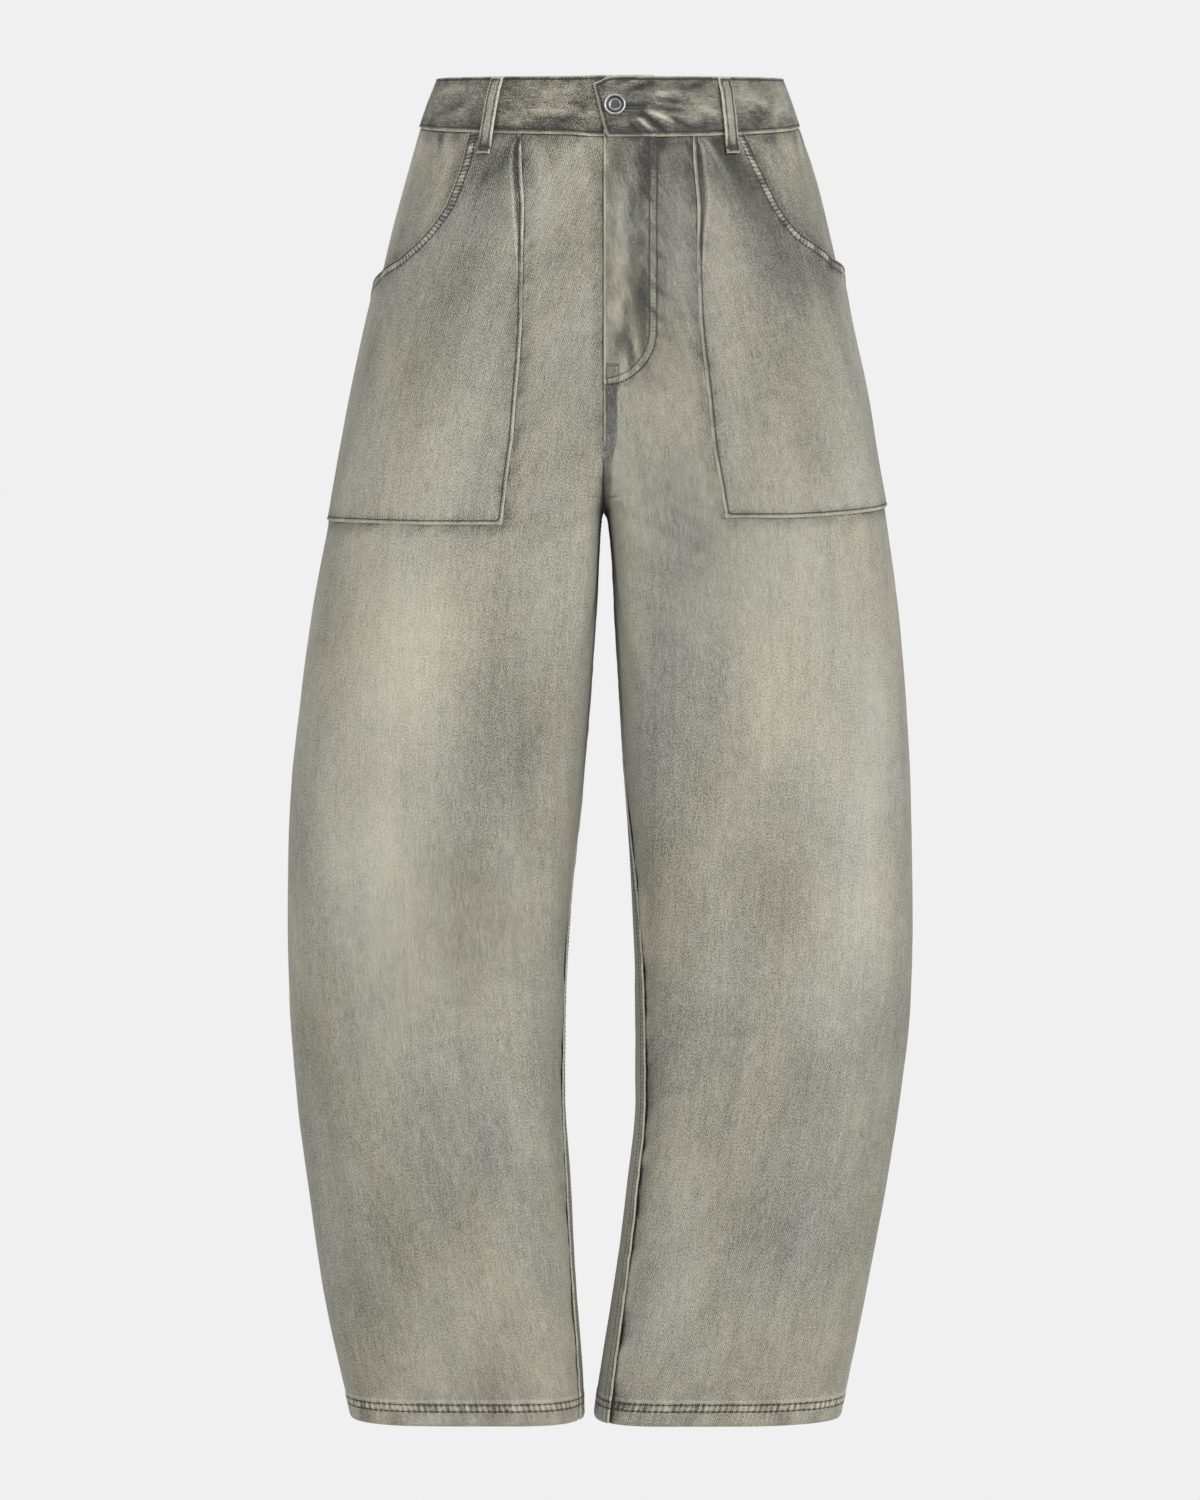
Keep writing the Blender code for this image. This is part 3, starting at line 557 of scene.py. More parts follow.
def panelRelief(side, half, drop, along):
    # how far a leg panel's face stands over the plain form, its fine part, and its distances
    whole, wide = lengthsAt(side, drop)
    place = wide - along
    seed = {"rightFront": 11, "leftFront": 37, "rightBack": 53, "leftBack": 71}[side + half]
    forward = curveThrough(inseamNames, inseamRows, side + "Forward", drop)
    outseam = np.abs(place + formSizes["outseamBack"])
    seam = along - forward if half == "Front" else whole + forward - along
    seam = np.abs(seam)
    leg = easeIn(drop, crotch - 30, crotch + 40)
    waist = drop - bandBottom(side, drop, along)
    height = looseCloth(place, drop, seed) * easeIn(outseam, 0, 18) * easeIn(seam, 0, 18) * easeIn(waist, -2, 26)
    height += creaseSum(creaseRows[side + half], place, drop, 0.35)
    fine = puckers(outseam, drop, 17.0, 7.0, 0.45, seed + 11) - 0.35 * bump(outseam / 2.0)
    fine += puckers(np.abs(waist), along, 9.0, 24.0, 0.6, seed + 17) * easeIn(waist, 0, 5)
    hemRaised, hemFine = hemRelief(drop, along, seed + 23)
    height += hemRaised
    fine += hemFine
    edge = np.full(np.shape(drop), farAway)
    rows = np.full(np.shape(drop), farAway)
    run = drop
    under = np.maximum(waist, 0.0)
    if half == "Front":
        pocketGap = distancesTo(place, drop, edgeLines[side])[0]
        mouthGap = distancesTo(place, drop, mouthLines[side])[0]
        under = np.minimum(under, np.minimum(pocketGap, mouthGap))
        covered = (place > pocketCurve(side, "Mouth", drop) + 2) & (place < pocketCurve(side, "Inner", drop) - 2)
        height -= 1.1 * covered * (1 - easeIn(waist, 4, 18))
        fine += puckers(pocketGap, drop + place, 11.0, 9.0, 0.35, seed + 29)
        fine += leg * (puckers(seam, drop, 22.0, 9.0, 1.0, seed + 31) + puckers(seam, drop, 7.0, 5.0, 0.5, seed + 37))
        fine -= leg * 0.9 * (1 - easeIn(seam, 0, 3.0))
        hidden = easeIn(forward - along, 0, 1.2) * (drop > crotch)
        height -= 1.5 * hidden
        if side == "left":
            line = flyLine()
            gap, run = distancesTo(along, drop, line)
            inside = (along < flyWidth(drop)) & (drop < flySizes["end"])
            rows = np.where(inside, gap, -gap)
            height += flySizes["raised"] * easeIn(rows, -1.2, 0.6)
            fine += puckers(gap, drop - along, 7.0, 8.0, 0.5, seed + 41)
            fine += inside * (0.45 * bump((along - 13) / 9) - 0.15 * bump((along - 27) / 4)) * easeIn(drop, 50, 90)
            fine += inside * 0.7 * softNoise(along / 5, drop / 20, seed + 45) * easeIn(drop, 140, 200)
            edge = np.where(drop < crotch, seam, farAway)
            height += (1 - leg) * (0.5 * bump((edge - 1.0) / 2.2) - 0.8 * (1 - easeIn(edge, 0, 0.9)))
            doubled = easeIn(drop, flySizes["end"] - 8, flySizes["end"]) * (1 - leg)
            height += doubled * 0.9 * (1 - easeIn(edge, 8.5, 10.5))
            fine += doubled * puckers(np.abs(edge - 5), drop, 4.4, 5.0, 0.35, seed + 43)
        else:
            height -= (1 - leg) * 0.5 * (1 - easeIn(seam, 0, 4.0))
            height -= 2.4 * (1 - easeIn(along, 14, 26)) * (1 - easeIn(waist, 0, 5)) * (1 - leg)
            fine += (1 - leg) * puckers(seam, drop, 10.0, 8.0, 0.35, seed + 47)
            under = np.where(drop < crotch, np.minimum(under, seam), under)
    else:
        lapped = 0.55 * (1 - easeIn(seam, 8.5, 11.0)) + 0.45 * bump((seam - 1.1) / 2.0)
        lapped -= 0.9 * (1 - easeIn(seam, 0, 0.9))
        if side == "left":
            height += lapped
            edge = seam
        else:
            height += leg * lapped - (1 - leg) * 0.5 * (1 - easeIn(seam, 0, 4.0))
            edge = np.where(drop > crotch, seam, farAway)
            under = np.where(drop < crotch, np.minimum(under, seam), under)
        fine += puckers(seam, drop, 9.0, 7.0, 0.35, seed + 51)
    return {
        "height": height + fine,
        "wearAndShade": fine,
        "edge": edge,
        "rows": rows,
        "run": run,
        "under": under,
        "place": place,
        "seam": np.where(half == "Front", seam, farAway) + farAway * (1 - easeIn(drop, 430, 520)),
        "outseam": outseam,
    }


def pocketRelief(side, drop, place):
    p = pocketSizes
    seed = 91 if side == "right" else 117
    edge, edgeRun = distancesTo(place, drop, edgeLines[side])
    mouth, mouthRun = distancesTo(place, drop, mouthLines[side])
    fold = pocketCurve(side, "Inner", drop) - curveThrough(pleatNames, pleatRows, "width", drop)
    lip = curveThrough(pleatNames, pleatRows, "height", drop)
    past = fold - place
    pleat = lip * bump(past / p["pleatBlend"]) * easeIn(past, -0.6, 0.7)
    gape = p["gape"] * easeIn(drop, 60, 120) * np.exp(-mouth / 25)
    height = p["wall"] + p["lifted"] + gape + pleat
    height += foldedEdge(edge, row=p["edgeRow"])
    hem = 0.55 * (1 - easeIn(mouth, 8.8, 10.2))
    grooves = sum(bump((mouth - row) / 1.2) for row in p["mouthRows"])
    height += hem - 0.9 * (1 - easeIn(mouth, 0, 0.9)) + 0.25 * bump((mouth - 1.2) / 1.2)
    between = bump((mouth - 5.3) / 4.2)
    fine = -0.4 * grooves + 0.42 * between * softNoise(mouthRun / 3.6, mouth * 0.0, seed)
    fine += puckers(np.abs(mouth - 8), mouthRun, 8.0, 8.0, 0.35, seed + 2)
    fine += puckers(edge, edgeRun, 9.0, 9.0, 0.4, seed + 4)
    waist = drop - bandBottom(side, drop, lengthsAt(side, drop)[1] - place)
    fine += puckers(np.abs(waist), place, 9.0, 30.0, 0.9, seed + 6)
    fine += -0.35 * bump((place + formSizes["outseamBack"]) / 2.0)
    height += 0.7 * looseCloth(place, drop, seed + 8) * easeIn(edge, 3, 20) * easeIn(mouth, 8, 24)
    # drawn down flat where the band holds its top
    height = 0.3 + (height - 0.3) * easeIn(waist, -1, 11)
    fine *= easeIn(waist, 0, 5)
    return {"height": height + fine, "wearAndShade": fine, "edge": edge, "rows": mouth, "under": np.maximum(waist, 0),
            "place": place, "fold": past, "run": edgeRun, "mouthRun": mouthRun}


# Lighter and darker patches, partly the wash and partly painted light and shade: darker on the legs' outer and inner
# sides and beside the pocket mouths. Place, drop, half width, half length, strength
washAndShadeRows = {
    "right": [
        (150, 440, 46, 120, 1.15),
        (128, 560, 52, 150, 0.80),
        (196, 500, 30, 110, -0.25),
        (205, 560, 34, 150, -0.42),
        (40, 520, 26, 160, 0.05),
        (112, 700, 60, 120, 0.15),
        (60, 880, 60, 120, -0.40),
        (120, 905, 34, 70, -0.30),
        (196, 860, 40, 120, 0.12),
        (196, 120, 22, 90, -0.15),
        (120, 66, 22, 34, -1.2),
        (138, 130, 20, 80, -1.0),
        (0, 100, 30, 70, 0.9),
        (66, 100, 26, 60, -0.6),
        (40, 146, 26, 20, -0.8),
        (90, 210, 60, 60, -0.30),
        (90, 300, 60, 40, 0.15),
        (150, 60, 60, 16, -0.7),
        (150, 900, 70, 90, 0.25),
        (140, 780, 60, 60, -0.30),
    ],
    "left": [
        (150, 430, 46, 110, 0.80),
        (84, 480, 28, 150, 0.30),
        (80, 600, 40, 170, 0.9),
        (140, 600, 60, 160, 0.22),
        (235, 560, 40, 260, -0.48),
        (120, 880, 50, 130, -0.22),
        (40, 900, 40, 120, -0.12),
        (170, 820, 30, 90, 0.05),
        (176, 70, 20, 36, -0.55),
        (118, 66, 24, 34, -1.2),
        (112, 130, 34, 60, -1.3),
        (90, 130, 60, 60, -0.5),
        (40, 90, 40, 60, -0.75),
        (60, 150, 30, 26, -0.7),
        (40, 650, 38, 220, -0.60),
        (112, 240, 56, 70, -0.45),
        (90, 320, 60, 30, 0.15),
        (150, 60, 60, 16, -0.6),
        (150, 780, 60, 60, -0.20),
    ],
}


# dark and pale patches of the fly: length from the front seam, drop, half width, half length, strength
flyFades = [
    (20, 120, 40, 90, -1.25),
    (30, 58, 12, 22, -1.5),
    (12, 70, 7, 40, -0.4),
    (12, 130, 6, 50, 0.4),
    (27, 130, 4, 60, -0.15),
    (33, 120, 3, 60, 0.25),
    (24, 178, 9, 22, -1.1),
    (16, 212, 12, 16, -1.6),
    (22, 206, 3, 16, 1.5),
    (6, 234, 5, 9, -1.6),
    (30, 226, 8, 10, -0.9),
    (38, 240, 12, 10, -0.5),
]


def washAndShadeFades(side, drop, place):
    # the listed patches, partly the wash and partly painted light and shade, with the wash's own random unevenness
    # added
    strength = patchSum(washAndShadeRows[side], place, drop)
    return strength + 0.22 * softNoise(place / 30, drop / 150, 5) + 0.12 * softNoise(place / 11, drop / 60 + 9, 6)


# Node groups, built once: weave, wash, worn edges and pairs of rows
def newGroup(name, inputs, outputs):
    # the cloth's coordinates come first, then numbers with their usual values
    group = bpy.data.node_groups.new(name, "ShaderNodeTree")
    group.interface.new_socket("Cloth", in_out="INPUT", socket_type="NodeSocketVector")
    for label, value in inputs.items():
        group.interface.new_socket(label, in_out="INPUT", socket_type="NodeSocketFloat").default_value = value
    for label in outputs:
        group.interface.new_socket(label, in_out="OUTPUT", socket_type="NodeSocketFloat")
    return group, group.nodes.new("NodeGroupInput").outputs, group.nodes.new("NodeGroupOutput").inputs


def feed(tree, target, source):
    if isinstance(source, (int, float, tuple)):
        target.default_value = source
    else:
        tree.links.new(source, target)


def calc(tree, operation, a, b=0.0, c=0.0, clamp=False):
    node = tree.nodes.new("ShaderNodeMath")
    node.operation = operation
    node.use_clamp = clamp
    for socket, source in zip(node.inputs, (a, b, c)):
        feed(tree, socket, source)
    return node.outputs[0]


def mapRange(tree, value, fromLow, fromHigh, toLow, toHigh, smooth=True):
    node = tree.nodes.new("ShaderNodeMapRange")
    node.interpolation_type = "SMOOTHSTEP" if smooth else "LINEAR"
    for socket, source in zip(node.inputs, (value, fromLow, fromHigh, toLow, toHigh)):
        feed(tree, socket, source)
    return node.outputs[0]


def scaledVector(tree, vector, scale):
    node = tree.nodes.new("ShaderNodeMapping")
    feed(tree, node.inputs["Vector"], vector)
    node.inputs["Scale"].default_value = scale
    return node.outputs[0]


def noiseValue(tree, vector, scale, detail=2.0, rough=0.5):
    node = tree.nodes.new("ShaderNodeTexNoise")
    feed(tree, node.inputs["Vector"], scaledVector(tree, vector, scale))
    node.inputs["Scale"].default_value = 1.0
    node.inputs["Detail"].default_value = detail
    node.inputs["Roughness"].default_value = rough
    return calc(tree, "SUBTRACT", node.outputs["Fac"], 0.5)


def weaveGroup():
    # twill lines that fall to the right, each warp thread's own shade, and the nap between them
    tree, given, out = newGroup("twillWeave", {"Pitch": 1.6}, ("Shade", "Height"))
    split = tree.nodes.new("ShaderNodeSeparateXYZ")
    tree.links.new(given["Cloth"], split.inputs[0])
    wander = noiseValue(tree, given["Cloth"], (0.12, 0.12, 1.0), 1.0)
    across = calc(tree, "ADD", split.outputs["X"], calc(tree, "MULTIPLY", wander, 2.2))
    slope = calc(tree, "MULTIPLY", split.outputs["Y"], 0.675)
    turns = calc(tree, "DIVIDE", calc(tree, "ADD", across, slope), given["Pitch"])
    twill = calc(tree, "SINE", calc(tree, "MULTIPLY", turns, 2 * math.pi))
    warp = noiseValue(tree, given["Cloth"], (1.9, 0.09, 1.0), 2.0, 0.6)
    grain = noiseValue(tree, given["Cloth"], (0.95, 0.8, 1.0), 2.5, 0.7)
    shade = calc(tree, "MULTIPLY_ADD", twill, 0.10, calc(tree, "MULTIPLY", warp, 0.55))
    shade = calc(tree, "MULTIPLY_ADD", grain, 1.35, shade)
    height = calc(tree, "MULTIPLY_ADD", twill, 0.05, calc(tree, "MULTIPLY", grain, 0.16))
    tree.links.new(shade, out["Shade"])
    tree.links.new(height, out["Height"])
    return tree


def washGroup():
    # the uneven wash: broad clouds, and long faint streaks down the warp
    tree, given, out = newGroup("stoneWash", {"Clouds": 1.0, "Streaks": 1.0}, ("Shade", "Tint"))
    cloth = given["Cloth"]
    clouds = noiseValue(tree, cloth, (0.016, 0.009, 1.0), 4.0, 0.6)
    streaks = noiseValue(tree, cloth, (0.22, 0.007, 1.0), 3.0, 0.6)
    fine = noiseValue(tree, cloth, (0.5, 0.03, 1.0), 2.0, 0.6)
    mottle = noiseValue(tree, cloth, (0.16, 0.12, 1.0), 3.0, 0.65)
    shade = calc(tree, "MULTIPLY", calc(tree, "MULTIPLY", clouds, 0.42), given["Clouds"])
    streaky = calc(tree, "MULTIPLY_ADD", streaks, 0.16, calc(tree, "MULTIPLY", fine, 0.12))
    shade = calc(tree, "ADD", shade, calc(tree, "MULTIPLY", streaky, given["Streaks"]))
    shade = calc(tree, "MULTIPLY_ADD", mottle, 0.20, shade)
    tint = noiseValue(tree, cloth, (0.013, 0.006, 1.0), 3.0, 0.55)
    tree.links.new(shade, out["Shade"])
    tree.links.new(tint, out["Tint"])
    return tree


def wornEdgeGroup():
    # a rubbed ridge along an edge, and the dark drawn-in line of its stitches
    values = {"Distance": farAway, "Ridge": 1.7, "Row": 2.8, "Row Width": 0.75}
    tree, given, out = newGroup("wornEdge", values, ("Light", "Dark", "Height"))
    cloth, distance = given["Cloth"], given["Distance"]
    ragged = noiseValue(tree, cloth, (0.34, 0.34, 1.0), 3.0, 0.65)
    dots = noiseValue(tree, cloth, (0.8, 0.8, 1.0), 1.0)
    shifted = calc(tree, "MULTIPLY_ADD", ragged, 0.9, distance)
    ridge = mapRange(tree, shifted, 0.1, given["Ridge"], 1.0, 0.0)
    ridge = calc(tree, "MULTIPLY", ridge, calc(tree, "MULTIPLY_ADD", dots, 1.1, 0.95), clamp=True)
    off = calc(tree, "ABSOLUTE", calc(tree, "SUBTRACT", distance, given["Row"]))
    row = mapRange(tree, off, given["Row Width"], 0.15, 0.0, 1.0)
    broken = calc(tree, "MULTIPLY_ADD", dots, 1.4, 0.95, clamp=True)
    row = calc(tree, "MULTIPLY", row, broken)
    smudge = mapRange(tree, calc(tree, "MULTIPLY_ADD", ragged, 9.0, off), 7.0, 0.0, 0.0, 1.0)
    dark = calc(tree, "MULTIPLY_ADD", smudge, 0.22, row)
    tree.links.new(ridge, out["Light"])
    tree.links.new(dark, out["Dark"])
    tree.links.new(calc(tree, "MULTIPLY_ADD", row, -0.45, calc(tree, "MULTIPLY", ridge, 0.15)), out["Height"])
    return tree


def rowPairGroup():
    # two rows of stitches with small dark and light puckers between them
    values = {"Distance": farAway, "First": 2.4, "Second": 8.2, "Wear": 0.0, "Run": 0.0, "Pitch": 3.0, "Cells": 0.5}
    tree, given, out = newGroup("rowPair", values, ("Light", "Dark", "Height"))
    cloth, distance = given["Cloth"], given["Distance"]
    ragged = noiseValue(tree, cloth, (0.3, 0.3, 1.0), 3.0, 0.65)
    dots = noiseValue(tree, cloth, (0.8, 0.8, 1.0), 1.0)
    both = 0.0
    for label in ("First", "Second"):
        off = calc(tree, "ABSOLUTE", calc(tree, "SUBTRACT", distance, given[label]))
        both = calc(tree, "ADD", mapRange(tree, off, 0.85, 0.15, 0.0, 1.0), both)
    row = calc(tree, "MULTIPLY", both, calc(tree, "MULTIPLY_ADD", dots, 1.3, 0.95, clamp=True))
    middle = calc(tree, "MULTIPLY", calc(tree, "ADD", given["First"], given["Second"]), 0.5)
    offMiddle = calc(tree, "ABSOLUTE", calc(tree, "SUBTRACT", distance, middle))
    band = mapRange(tree, offMiddle, 4.2, 2.6, 0.0, 1.0)
    wearAndShade = calc(tree, "MULTIPLY", given["Wear"], -2.6)
    pits = calc(tree, "MULTIPLY", band, calc(tree, "MAXIMUM", wearAndShade, 0.0, clamp=True))
    # small cells between the rows, one for each stitch
    turned = calc(tree, "MULTIPLY", calc(tree, "DIVIDE", given["Run"], given["Pitch"]), 2 * math.pi)
    wave = calc(tree, "SINE", calc(tree, "MULTIPLY_ADD", ragged, 2.6, turned))
    gaps = calc(tree, "MULTIPLY", mapRange(tree, wave, 0.0, 0.9, 0.0, 1.0), given["Cells"])
    tops = calc(tree, "MULTIPLY", mapRange(tree, wave, 0.2, -0.8, 0.0, 1.0), given["Cells"])
    row = calc(tree, "MULTIPLY", row, calc(tree, "MULTIPLY_ADD", gaps, 0.9, 0.75))
    smudge = mapRange(tree, calc(tree, "MULTIPLY_ADD", ragged, 10.0, offMiddle), 11.0, 3.0, 0.0, 1.0)
    dark = calc(tree, "ADD", row, calc(tree, "MULTIPLY_ADD", pits, 0.38, calc(tree, "MULTIPLY", smudge, 0.06)))
    dark = calc(tree, "MULTIPLY_ADD", calc(tree, "MULTIPLY", band, gaps), 0.5, dark)
    lit = calc(tree, "ADD", calc(tree, "MAXIMUM", calc(tree, "MULTIPLY", wearAndShade, -1.0), 0.0, clamp=True), 0.3)
    light = calc(tree, "MULTIPLY", band, calc(tree, "MULTIPLY_ADD", tops, 0.9, lit))
    tree.links.new(light, out["Light"])
    tree.links.new(dark, out["Dark"])
    tree.links.new(calc(tree, "MULTIPLY", row, -0.4), out["Height"])
    return tree


groups = {"weave": weaveGroup(), "wash": washGroup(), "edge": wornEdgeGroup(), "pair": rowPairGroup()}
print("node groups built")

denimTones = [
    (0.00, (0.030, 0.031, 0.031)),
    (0.22, (0.120, 0.119, 0.104)),
    (0.50, (0.335, 0.325, 0.270)),
    (0.72, (0.470, 0.455, 0.375)),
    (1.00, (0.640, 0.605, 0.490)),
]
warmTint = (1.03, 0.995, 0.94)
coolTint = (0.975, 1.0, 1.05)


def groupNode(tree, group, values):
    node = tree.nodes.new("ShaderNodeGroup")
    node.node_tree = group
    for label, source in values.items():
        feed(tree, node.inputs[label], source)
    return node


def attribute(tree, name):
    node = tree.nodes.new("ShaderNodeAttribute")
    node.attribute_name = name
    return node.outputs["Fac"]


def startMaterial(name):
    material = bpy.data.materials.new(name)
    material.use_nodes = True
    return material, material.node_tree, material.node_tree.nodes["Principled BSDF"]


def clothPlace(tree, direction):
    # the place on the flat cloth, in millimetres
    uv = tree.nodes.new("ShaderNodeUVMap")
    uv.uv_map = "cloth"
    return scaledVector(tree, uv.outputs[0], (1000.0 * direction, 1000.0, 1.0))


def toneRamp(tree, value, interpolation):
    ramp = tree.nodes.new("ShaderNodeValToRGB")
    ramp.color_ramp.interpolation = interpolation
    while len(ramp.color_ramp.elements) < len(denimTones):
        ramp.color_ramp.elements.new(0.5)
    for element, (position, colour) in zip(ramp.color_ramp.elements, denimTones):
        element.position = position
        element.color = (*colour, 1.0)
    tree.links.new(value, ramp.inputs[0])
    return ramp.outputs[0]


def mixColours(tree, factor, first, second, blend="MIX"):
    mix = tree.nodes.new("ShaderNodeMix")
    mix.data_type = "RGBA"
    mix.blend_type = blend
    for label, source in (("Factor", factor), ("A", first), ("B", second)):
        feed(tree, mix.inputs[label], source)
    return mix.outputs["Result"]


def raiseSurface(tree, shader, height, strength, distance):
    relief = tree.nodes.new("ShaderNodeBump")
    relief.inputs["Strength"].default_value = strength
    relief.inputs["Distance"].default_value = distance
    tree.links.new(height, relief.inputs["Height"])
    tree.links.new(relief.outputs[0], shader.inputs["Normal"])


def denimMaterial(name, look):
    # look: the rows and ridges this piece has, and how dark it is overall
    material, tree, shader = startMaterial(name)
    cloth = clothPlace(tree, 1)
    weave = groupNode(tree, groups["weave"], {"Cloth": cloth, "Pitch": 1.6})
    wash = groupNode(tree, groups["wash"], {"Cloth": cloth, "Clouds": look.get("clouds", 1.0), "Streaks": 1.0})
    wearAndShade = attribute(tree, "wearAndShade")
    # what lightens or darkens the cloth, each with its strength, and what raises it
    # the first layer holds the wash's patches with painted light and shade mixed in; the second holds rubbed relief
    # with painted shadow beside the pocket pleat and in the buttonhole slit
    layers = [(attribute(tree, "fadeAndShade"), 0.16), (wearAndShade, look.get("wearAndShade", 0.24))]
    heights = [weave.outputs["Height"]]
    if look.get("edge"):
        edge = groupNode(tree, groups["edge"], {
            "Cloth": cloth,
            "Distance": attribute(tree, "edge"),
            "Ridge": look["edge"]["ridge"],
            "Row": look["edge"]["row"],
            "Row Width": 0.8,
        })
        layers.append((edge.outputs["Light"], look["edge"]["light"]))
        layers.append((edge.outputs["Dark"], -look["edge"].get("dark", 0.30)))
        heights.append(edge.outputs["Height"])
    if look.get("pair"):
        pair = groupNode(tree, groups["pair"], {
            "Cloth": cloth,
            "Distance": attribute(tree, "rows"),
            "First": look["pair"][0],
            "Second": look["pair"][1],
            "Wear": wearAndShade if look.get("pairWear", True) else 0.0,
            "Run": attribute(tree, "run"),
            "Pitch": look.get("pitch", 3.4),
            "Cells": look.get("cells", 0.6),
        })
        layers += [(pair.outputs["Light"], 0.16), (pair.outputs["Dark"], -0.36)]
        heights.append(pair.outputs["Height"])
        if look.get("pairEdge"):
            lip = groupNode(tree, groups["edge"], {"Cloth": cloth, "Distance": attribute(tree, "rows"), "Row": noRow})
            layers.append((lip.outputs["Light"], 0.36))
    if look.get("hem"):
        hem = groupNode(tree, groups["pair"], {
            "Cloth": cloth,
            "Distance": attribute(tree, "hem"),
            "First": hemSizes["rows"][0],
            "Second": hemSizes["rows"][1],
            "Wear": wearAndShade,
            "Run": attribute(tree, "place"),
            "Pitch": hemSizes["cellPitch"],
            "Cells": 0.65,
        })
        layers += [(hem.outputs["Light"], 0.20), (hem.outputs["Dark"], -0.42)]
        heights.append(hem.outputs["Height"])
        # the pale fuzzy line over the upper row
        over = calc(tree, "ABSOLUTE", calc(tree, "SUBTRACT", attribute(tree, "hem"), hemSizes["rows"][1] + 2.6))
        fuzz = calc(tree, "MULTIPLY_ADD", noiseValue(tree, cloth, (0.5, 0.5, 1.0), 2.0), 2.0, over)
        layers.append((mapRange(tree, fuzz, 0.2, 1.9, 1.0, 0.0), 0.13))
    if look.get("under"):
        # grime and shadow beside whatever lies on top
        ragged = noiseValue(tree, cloth, (0.2, 0.12, 1.0), 3.0, 0.65)
        distance = attribute(tree, "under")
        near = mapRange(tree, distance, 0.2, 1.5, 1.0, 0.0)
        soft = mapRange(tree, calc(tree, "MULTIPLY_ADD", ragged, 14.0, distance), 0.0, 13.0, 1.0, 0.0)
        layers += [(near, -0.20), (soft, -look["under"])]
    if look.get("seam"):
        ragged = noiseValue(tree, cloth, (0.2, 0.2, 1.0), 3.0, 0.7)
        seam = mapRange(tree, attribute(tree, "seam"), 0.3, 1.6, 1.0, 0.0)
        blots = mapRange(tree, calc(tree, "MULTIPLY_ADD", ragged, 12.0, attribute(tree, "seam")), 0.5, 5.0, 1.0, 0.0)
        outseam = mapRange(tree, attribute(tree, "outseam"), 0.2, 1.4, 1.0, 0.0)
        layers += [(seam, -0.24), (blots, -0.24), (outseam, -0.10)]
    value = calc(tree, "ADD", calc(tree, "ADD", look["tone"], weave.outputs["Shade"]), wash.outputs["Shade"])
    for source, strength in layers:
        value = calc(tree, "MULTIPLY_ADD", source, strength, value)
    height = heights[0]
    for further in heights[1:]:
        height = calc(tree, "ADD", height, further)
    warmth = calc(tree, "ADD", attribute(tree, "warm"), 0.5)
    warmth = calc(tree, "MULTIPLY_ADD", wash.outputs["Tint"], 2.4, warmth, clamp=True)
    tint = mixColours(tree, warmth, (*coolTint, 1.0), (*warmTint, 1.0))
    dyed = mixColours(tree, 1.0, toneRamp(tree, value, "B_SPLINE"), tint, "MULTIPLY")
    tree.links.new(dyed, shader.inputs["Base Color"])
    raiseSurface(tree, shader, height, 0.9, 0.001)
    rough = mapRange(tree, value, 0.2, 0.9, 0.92, 0.80)
    tree.links.new(rough, shader.inputs["Roughness"])
    shader.inputs["Specular IOR Level"].default_value = 0.22
    shader.inputs["Sheen Weight"].default_value = 0.12
    shader.inputs["Sheen Roughness"].default_value = 0.5
    return material


def insideMaterial():
    # the inner face, where more of the pale weft shows
    material, tree, shader = startMaterial("denimInside")
    cloth = clothPlace(tree, -1)
    weave = groupNode(tree, groups["weave"], {"Cloth": cloth, "Pitch": 1.6})
    wash = groupNode(tree, groups["wash"], {"Cloth": cloth, "Clouds": 0.5, "Streaks": 0.7})
    value = calc(tree, "ADD", calc(tree, "ADD", 0.56, weave.outputs["Shade"]), wash.outputs["Shade"])
    tree.links.new(toneRamp(tree, value, "LINEAR"), shader.inputs["Base Color"])
    raiseSurface(tree, shader, weave.outputs["Height"], 0.8, 0.001)
    shader.inputs["Roughness"].default_value = 0.9
    shader.inputs["Specular IOR Level"].default_value = 0.2
    return material


inside = insideMaterial()


# Making a piece of cloth: a grid primitive shaped onto the form, then given its wall
def clothPiece(name, points, cloth, values, outward, material):
    # points are rows and columns in millimetres, and cloth is each point's place on the flat cloth
    rows, columns = points.shape[:2]
    bpy.ops.object.select_all(action="DESELECT")
    bpy.ops.mesh.primitive_grid_add(x_subdivisions=columns - 1, y_subdivisions=rows - 1, size=1.0)
    piece = bpy.context.object
    piece.name = name
    piece.data.name = name
    mesh = piece.data
    mesh.vertices.foreach_set("co", (points * mm).reshape(-1).astype(np.float32))
    while mesh.uv_layers:
        mesh.uv_layers.remove(mesh.uv_layers[0])
    layer = mesh.uv_layers.new(name="cloth")
    corners = np.empty(len(mesh.loops), dtype=np.int32)
    mesh.loops.foreach_get("vertex_index", corners)
    layer.data.foreach_set("uv", (cloth.reshape(-1, 2)[corners] * mm).reshape(-1).astype(np.float32))
    for label, array in values.items():
        made = mesh.attributes.new(label, "FLOAT", "POINT")
        made.data.foreach_set("value", np.ascontiguousarray(array, dtype=np.float32).reshape(-1))
    mesh.update()
    middle = mesh.polygons[len(mesh.polygons) // 2]
    corner = middle.vertices[0]
    if middle.normal.dot(Vector(outward.reshape(-1, 3)[corner])) < 0:
        mesh.flip_normals()
    mesh.materials.append(material)
    mesh.materials.append(inside)
    return piece


